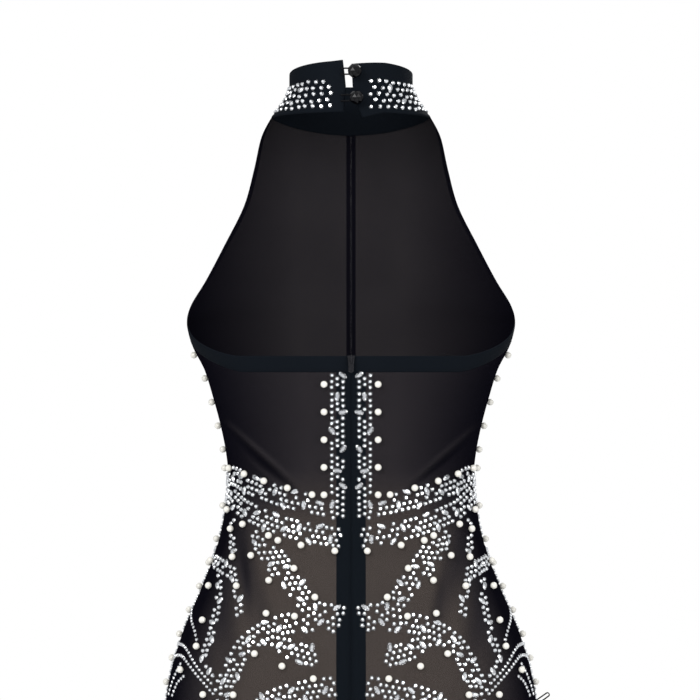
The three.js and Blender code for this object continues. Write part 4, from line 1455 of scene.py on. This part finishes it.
def pearl_template():
    radius = WIDTHS["pearl"] / 2
    mesh = ball_mesh("pearl", radius, subdivisions=3, middle=(0, 0, PEARL_MIDDLE * radius))
    mesh.shade_smooth()
    return mesh


def stone_material():
    made, tree, shader = new_material("silver_stone", Metallic=1.0)
    cells = pattern(tree, "ShaderNodeTexVoronoi", Scale=700.0)
    bright = mixed_colour(tree, cells, STONE_BRIGHT, STONE_GREY)
    base, more = STONE_ROUGHNESS
    # Painted reflection and shade: each face's painted shade darkens the silver
    feed(
        shader, Base_Color=mixed_colour(tree, attribute(tree, "tone"), bright, STONE_PAINTED_DARK),
        Roughness=math_node(tree, "MULTIPLY_ADD", cells, more, base),
    )
    return made


STONE = stone_material()
PEARL, _, _ = new_material(
    "white_pearl", Base_Color=(0.64, 0.62, 0.565, 1), Roughness=0.3, Coat_Weight=0.5, Coat_Roughness=0.1,
)


# How far from a place the cloth is felt on either side, in laps and in height
FEEL_LAP = 0.002
FEEL_HEIGHT = 0.5


def cloth_frames(side, places):
    """Where unrolled places stand on one half of the body, the outward direction, and along."""
    places = np.asarray(places)
    lap, z = lap_at(places[:, :2]), places[:, 1]
    here = lap_point(side, lap, z)
    round_body = unit(lap_point(side, lap + FEEL_LAP, z) - lap_point(side, lap - FEEL_LAP, z))
    upward = unit(lap_point(side, lap, z + FEEL_HEIGHT) - lap_point(side, lap, z - FEEL_HEIGHT))
    facing = np.cross(round_body, upward) * -side
    facing *= np.sign((facing * outward_at(here)).sum(1, keepdims=True))
    return here, facing, places[:, 2:3] * round_body + places[:, 3:4] * upward


laid = {kind: [] for kind in WIDTHS}
for _, side in SIDES:
    for kind, places in lay_stones(seed=11 + side).items():
        laid[kind].append(cloth_frames(side, places))


# The collar's stones run in five rows from one end round the front to the other.
COLLAR_STONE_DOWNS = (0.38, 0.505, 0.635, 0.765, 0.885)
COLLAR_STONE_PITCH = 7.8
COLLAR_END_CLEAR = 17.0
COLLAR_JITTER = 0.9
COLLAR_OVAL_EVERY = 7
COLLAR_OVAL_ROWS = (1, 3)
COLLAR_ANGLES = np.linspace(-math.pi, math.pi, 721)
FEEL_ANGLE = 0.01
FEEL_DOWN = 0.02


def collar_frames(seed):
    """Where the collar's stones stand: rows at even shares of its height, with ovals here and there."""
    chance = np.random.default_rng(seed)
    found = {"oval": [], "round": []}
    for row, row_down in enumerate(COLLAR_STONE_DOWNS):
        run = distances(collar_point(COLLAR_ANGLES, row_down))
        start = COLLAR_END_CLEAR + 0.5 * COLLAR_STONE_PITCH * (row % 2)
        at = np.arange(start, run[-1] - COLLAR_END_CLEAR, COLLAR_STONE_PITCH)
        at = at + chance.uniform(-COLLAR_JITTER, COLLAR_JITTER, len(at))
        for number, angle in enumerate(np.interp(at, run, COLLAR_ANGLES)):
            down = row_down + chance.uniform(-1, 1) * COLLAR_JITTER / COLLAR_HEIGHT
            oval = row in COLLAR_OVAL_ROWS and number % COLLAR_OVAL_EVERY == 1 + row
            here = collar_point(angle, down)
            ahead = unit(collar_point(angle + FEEL_ANGLE, down) - here)
            below = unit(collar_point(angle, down + FEEL_DOWN) - here)
            facing = unit(np.cross(ahead, below))
            facing *= np.sign(facing[:2] @ here[:2])
            cosine, sine = heading(math.radians(OVAL_TILTS[number % len(OVAL_TILTS)]))
            found["oval" if oval else "round"].append((here, facing, ahead * cosine - below * sine))
    return {kind: tuple(np.array(column) for column in zip(*rows)) for kind, rows in found.items()}


for kind, frames in collar_frames(seed=5).items():
    laid[kind].append(frames)
templates = {
    kind: (cut_stone(length, WIDTHS[kind], *shape), STONE, "silver_stone", wobble)
    for kind, (length, *shape, wobble) in STONE_CUTS.items()
}
templates["pearl"] = (pearl_template(), PEARL, "white_pearl", 0.0)
for kind, (template, material, slot_name, wobble) in templates.items():
    places, facing, along = (np.concatenate(parts) for parts in zip(*laid[kind]))
    stones = set_pieces(f"{kind}_stones", template, places, facing, along, material, wobble, seed=3)
    finished(stones, None, slot_name, "garment")


# The studio: a pale floor well below the hanging garment, soft lights, and the camera
# straight behind the collar's buttons, where it sees the garment from the collar to the hip.
VIEW_WIDTH = 0.616
CAMERA_DISTANCE = 4.0
PICTURE_MIDDLE = (0.0009, -0.2288)
FLOOR_Z = -0.78
FLOOR_RADIUS = 1.6
FLOOR_SIDES = 96
FLOOR_COLOUR = (0.86, 0.86, 0.86, 1)
AIM_Z = -0.3
SENSOR_WIDTH = 36
CLIP_END = 20
WHITE = (1, 1, 1, 1)
SKY_DARK = (0.20, 0.20, 0.21, 1)
SKY_BRIGHT = (1.08, 1.10, 1.12, 1)
# How far the sky brightens upward and towards the camera, and where it starts and stops
SKY_UPWARD = 0.45
SKY_TOWARD_CAMERA = 0.55
SKY_SPAN = (-0.55, 0.5)
# name, place, size, power
LIGHTS = (
    ("key_behind", (1.3, 2.2, 0.9), 1.2, 40),
    ("fill_behind", (-1.6, 2.0, 0.3), 1.5, 22),
    ("key_front", (-1.2, -2.2, 0.9), 1.4, 14),
    ("spark_behind", (0.7, 2.6, 0.9), 0.14, 6),
)


def add_floor():
    bpy.ops.mesh.primitive_circle_add(vertices=FLOOR_SIDES, radius=FLOOR_RADIUS, fill_type="NGON")
    floor = bpy.context.object
    floor.name = "studio_floor"
    floor.location.z = FLOOR_Z
    made, _, _ = new_material("studio_floor", Base_Color=FLOOR_COLOUR, Roughness=0.9)
    floor.data.materials.append(made)
    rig.stage(floor)


def add_lights():
    for name, place, size, power in LIGHTS:
        lamp = bpy.data.lights.new(name, "AREA")
        lamp.size = size
        lamp.energy = power
        made = new_object(name, lamp)
        made.location = place
        toward = Vector((0, 0, AIM_Z)) - made.location
        made.rotation_euler = toward.to_track_quat("-Z", "Y").to_euler()


def add_world():
    """White where the camera looks past the garment. What lights it is bright above and behind."""
    world = bpy.data.worlds.new("studio_world")
    bpy.context.scene.world = world
    world.use_nodes = True
    tree = world.node_tree
    background = tree.nodes["Background"]
    place = node(tree, "ShaderNodeTexCoord").outputs["Generated"]
    split = node(tree, "ShaderNodeSeparateXYZ", {0: place})
    upward = math_node(tree, "MULTIPLY", split.outputs[2], SKY_UPWARD)
    toward_camera = math_node(tree, "MULTIPLY_ADD", split.outputs[1], SKY_TOWARD_CAMERA, upward)
    sky = mixed_colour(tree, mapped(tree, toward_camera, *SKY_SPAN), SKY_DARK, SKY_BRIGHT)
    seen = node(tree, "ShaderNodeLightPath").outputs["Is Camera Ray"]
    tree.links.new(mixed_colour(tree, seen, sky, WHITE), background.inputs[0])
    bpy.context.scene.view_settings.view_transform = "Standard"


def add_camera():
    camera = bpy.data.cameras.new("photo_camera")
    camera.sensor_width = SENSOR_WIDTH
    plane = CAMERA_DISTANCE - SIDE_SEAM_Y * MM
    camera.lens = SENSOR_WIDTH * plane / VIEW_WIDTH
    camera.clip_end = CLIP_END
    made = new_object("photo_camera", camera)
    made.location = (PICTURE_MIDDLE[0], CAMERA_DISTANCE, PICTURE_MIDDLE[1])
    made.rotation_euler = (math.radians(90), 0, math.radians(180))
    bpy.context.scene.camera = made


add_floor()
add_lights()
add_world()
add_camera()

visual_low, visual_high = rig.bounds()
sizes = {"cad": [list(cad_low), list(cad_high)], "visual": [list(visual_low), list(visual_high)]}
with open("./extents.json", "w") as out:
    json.dump(sizes, out)
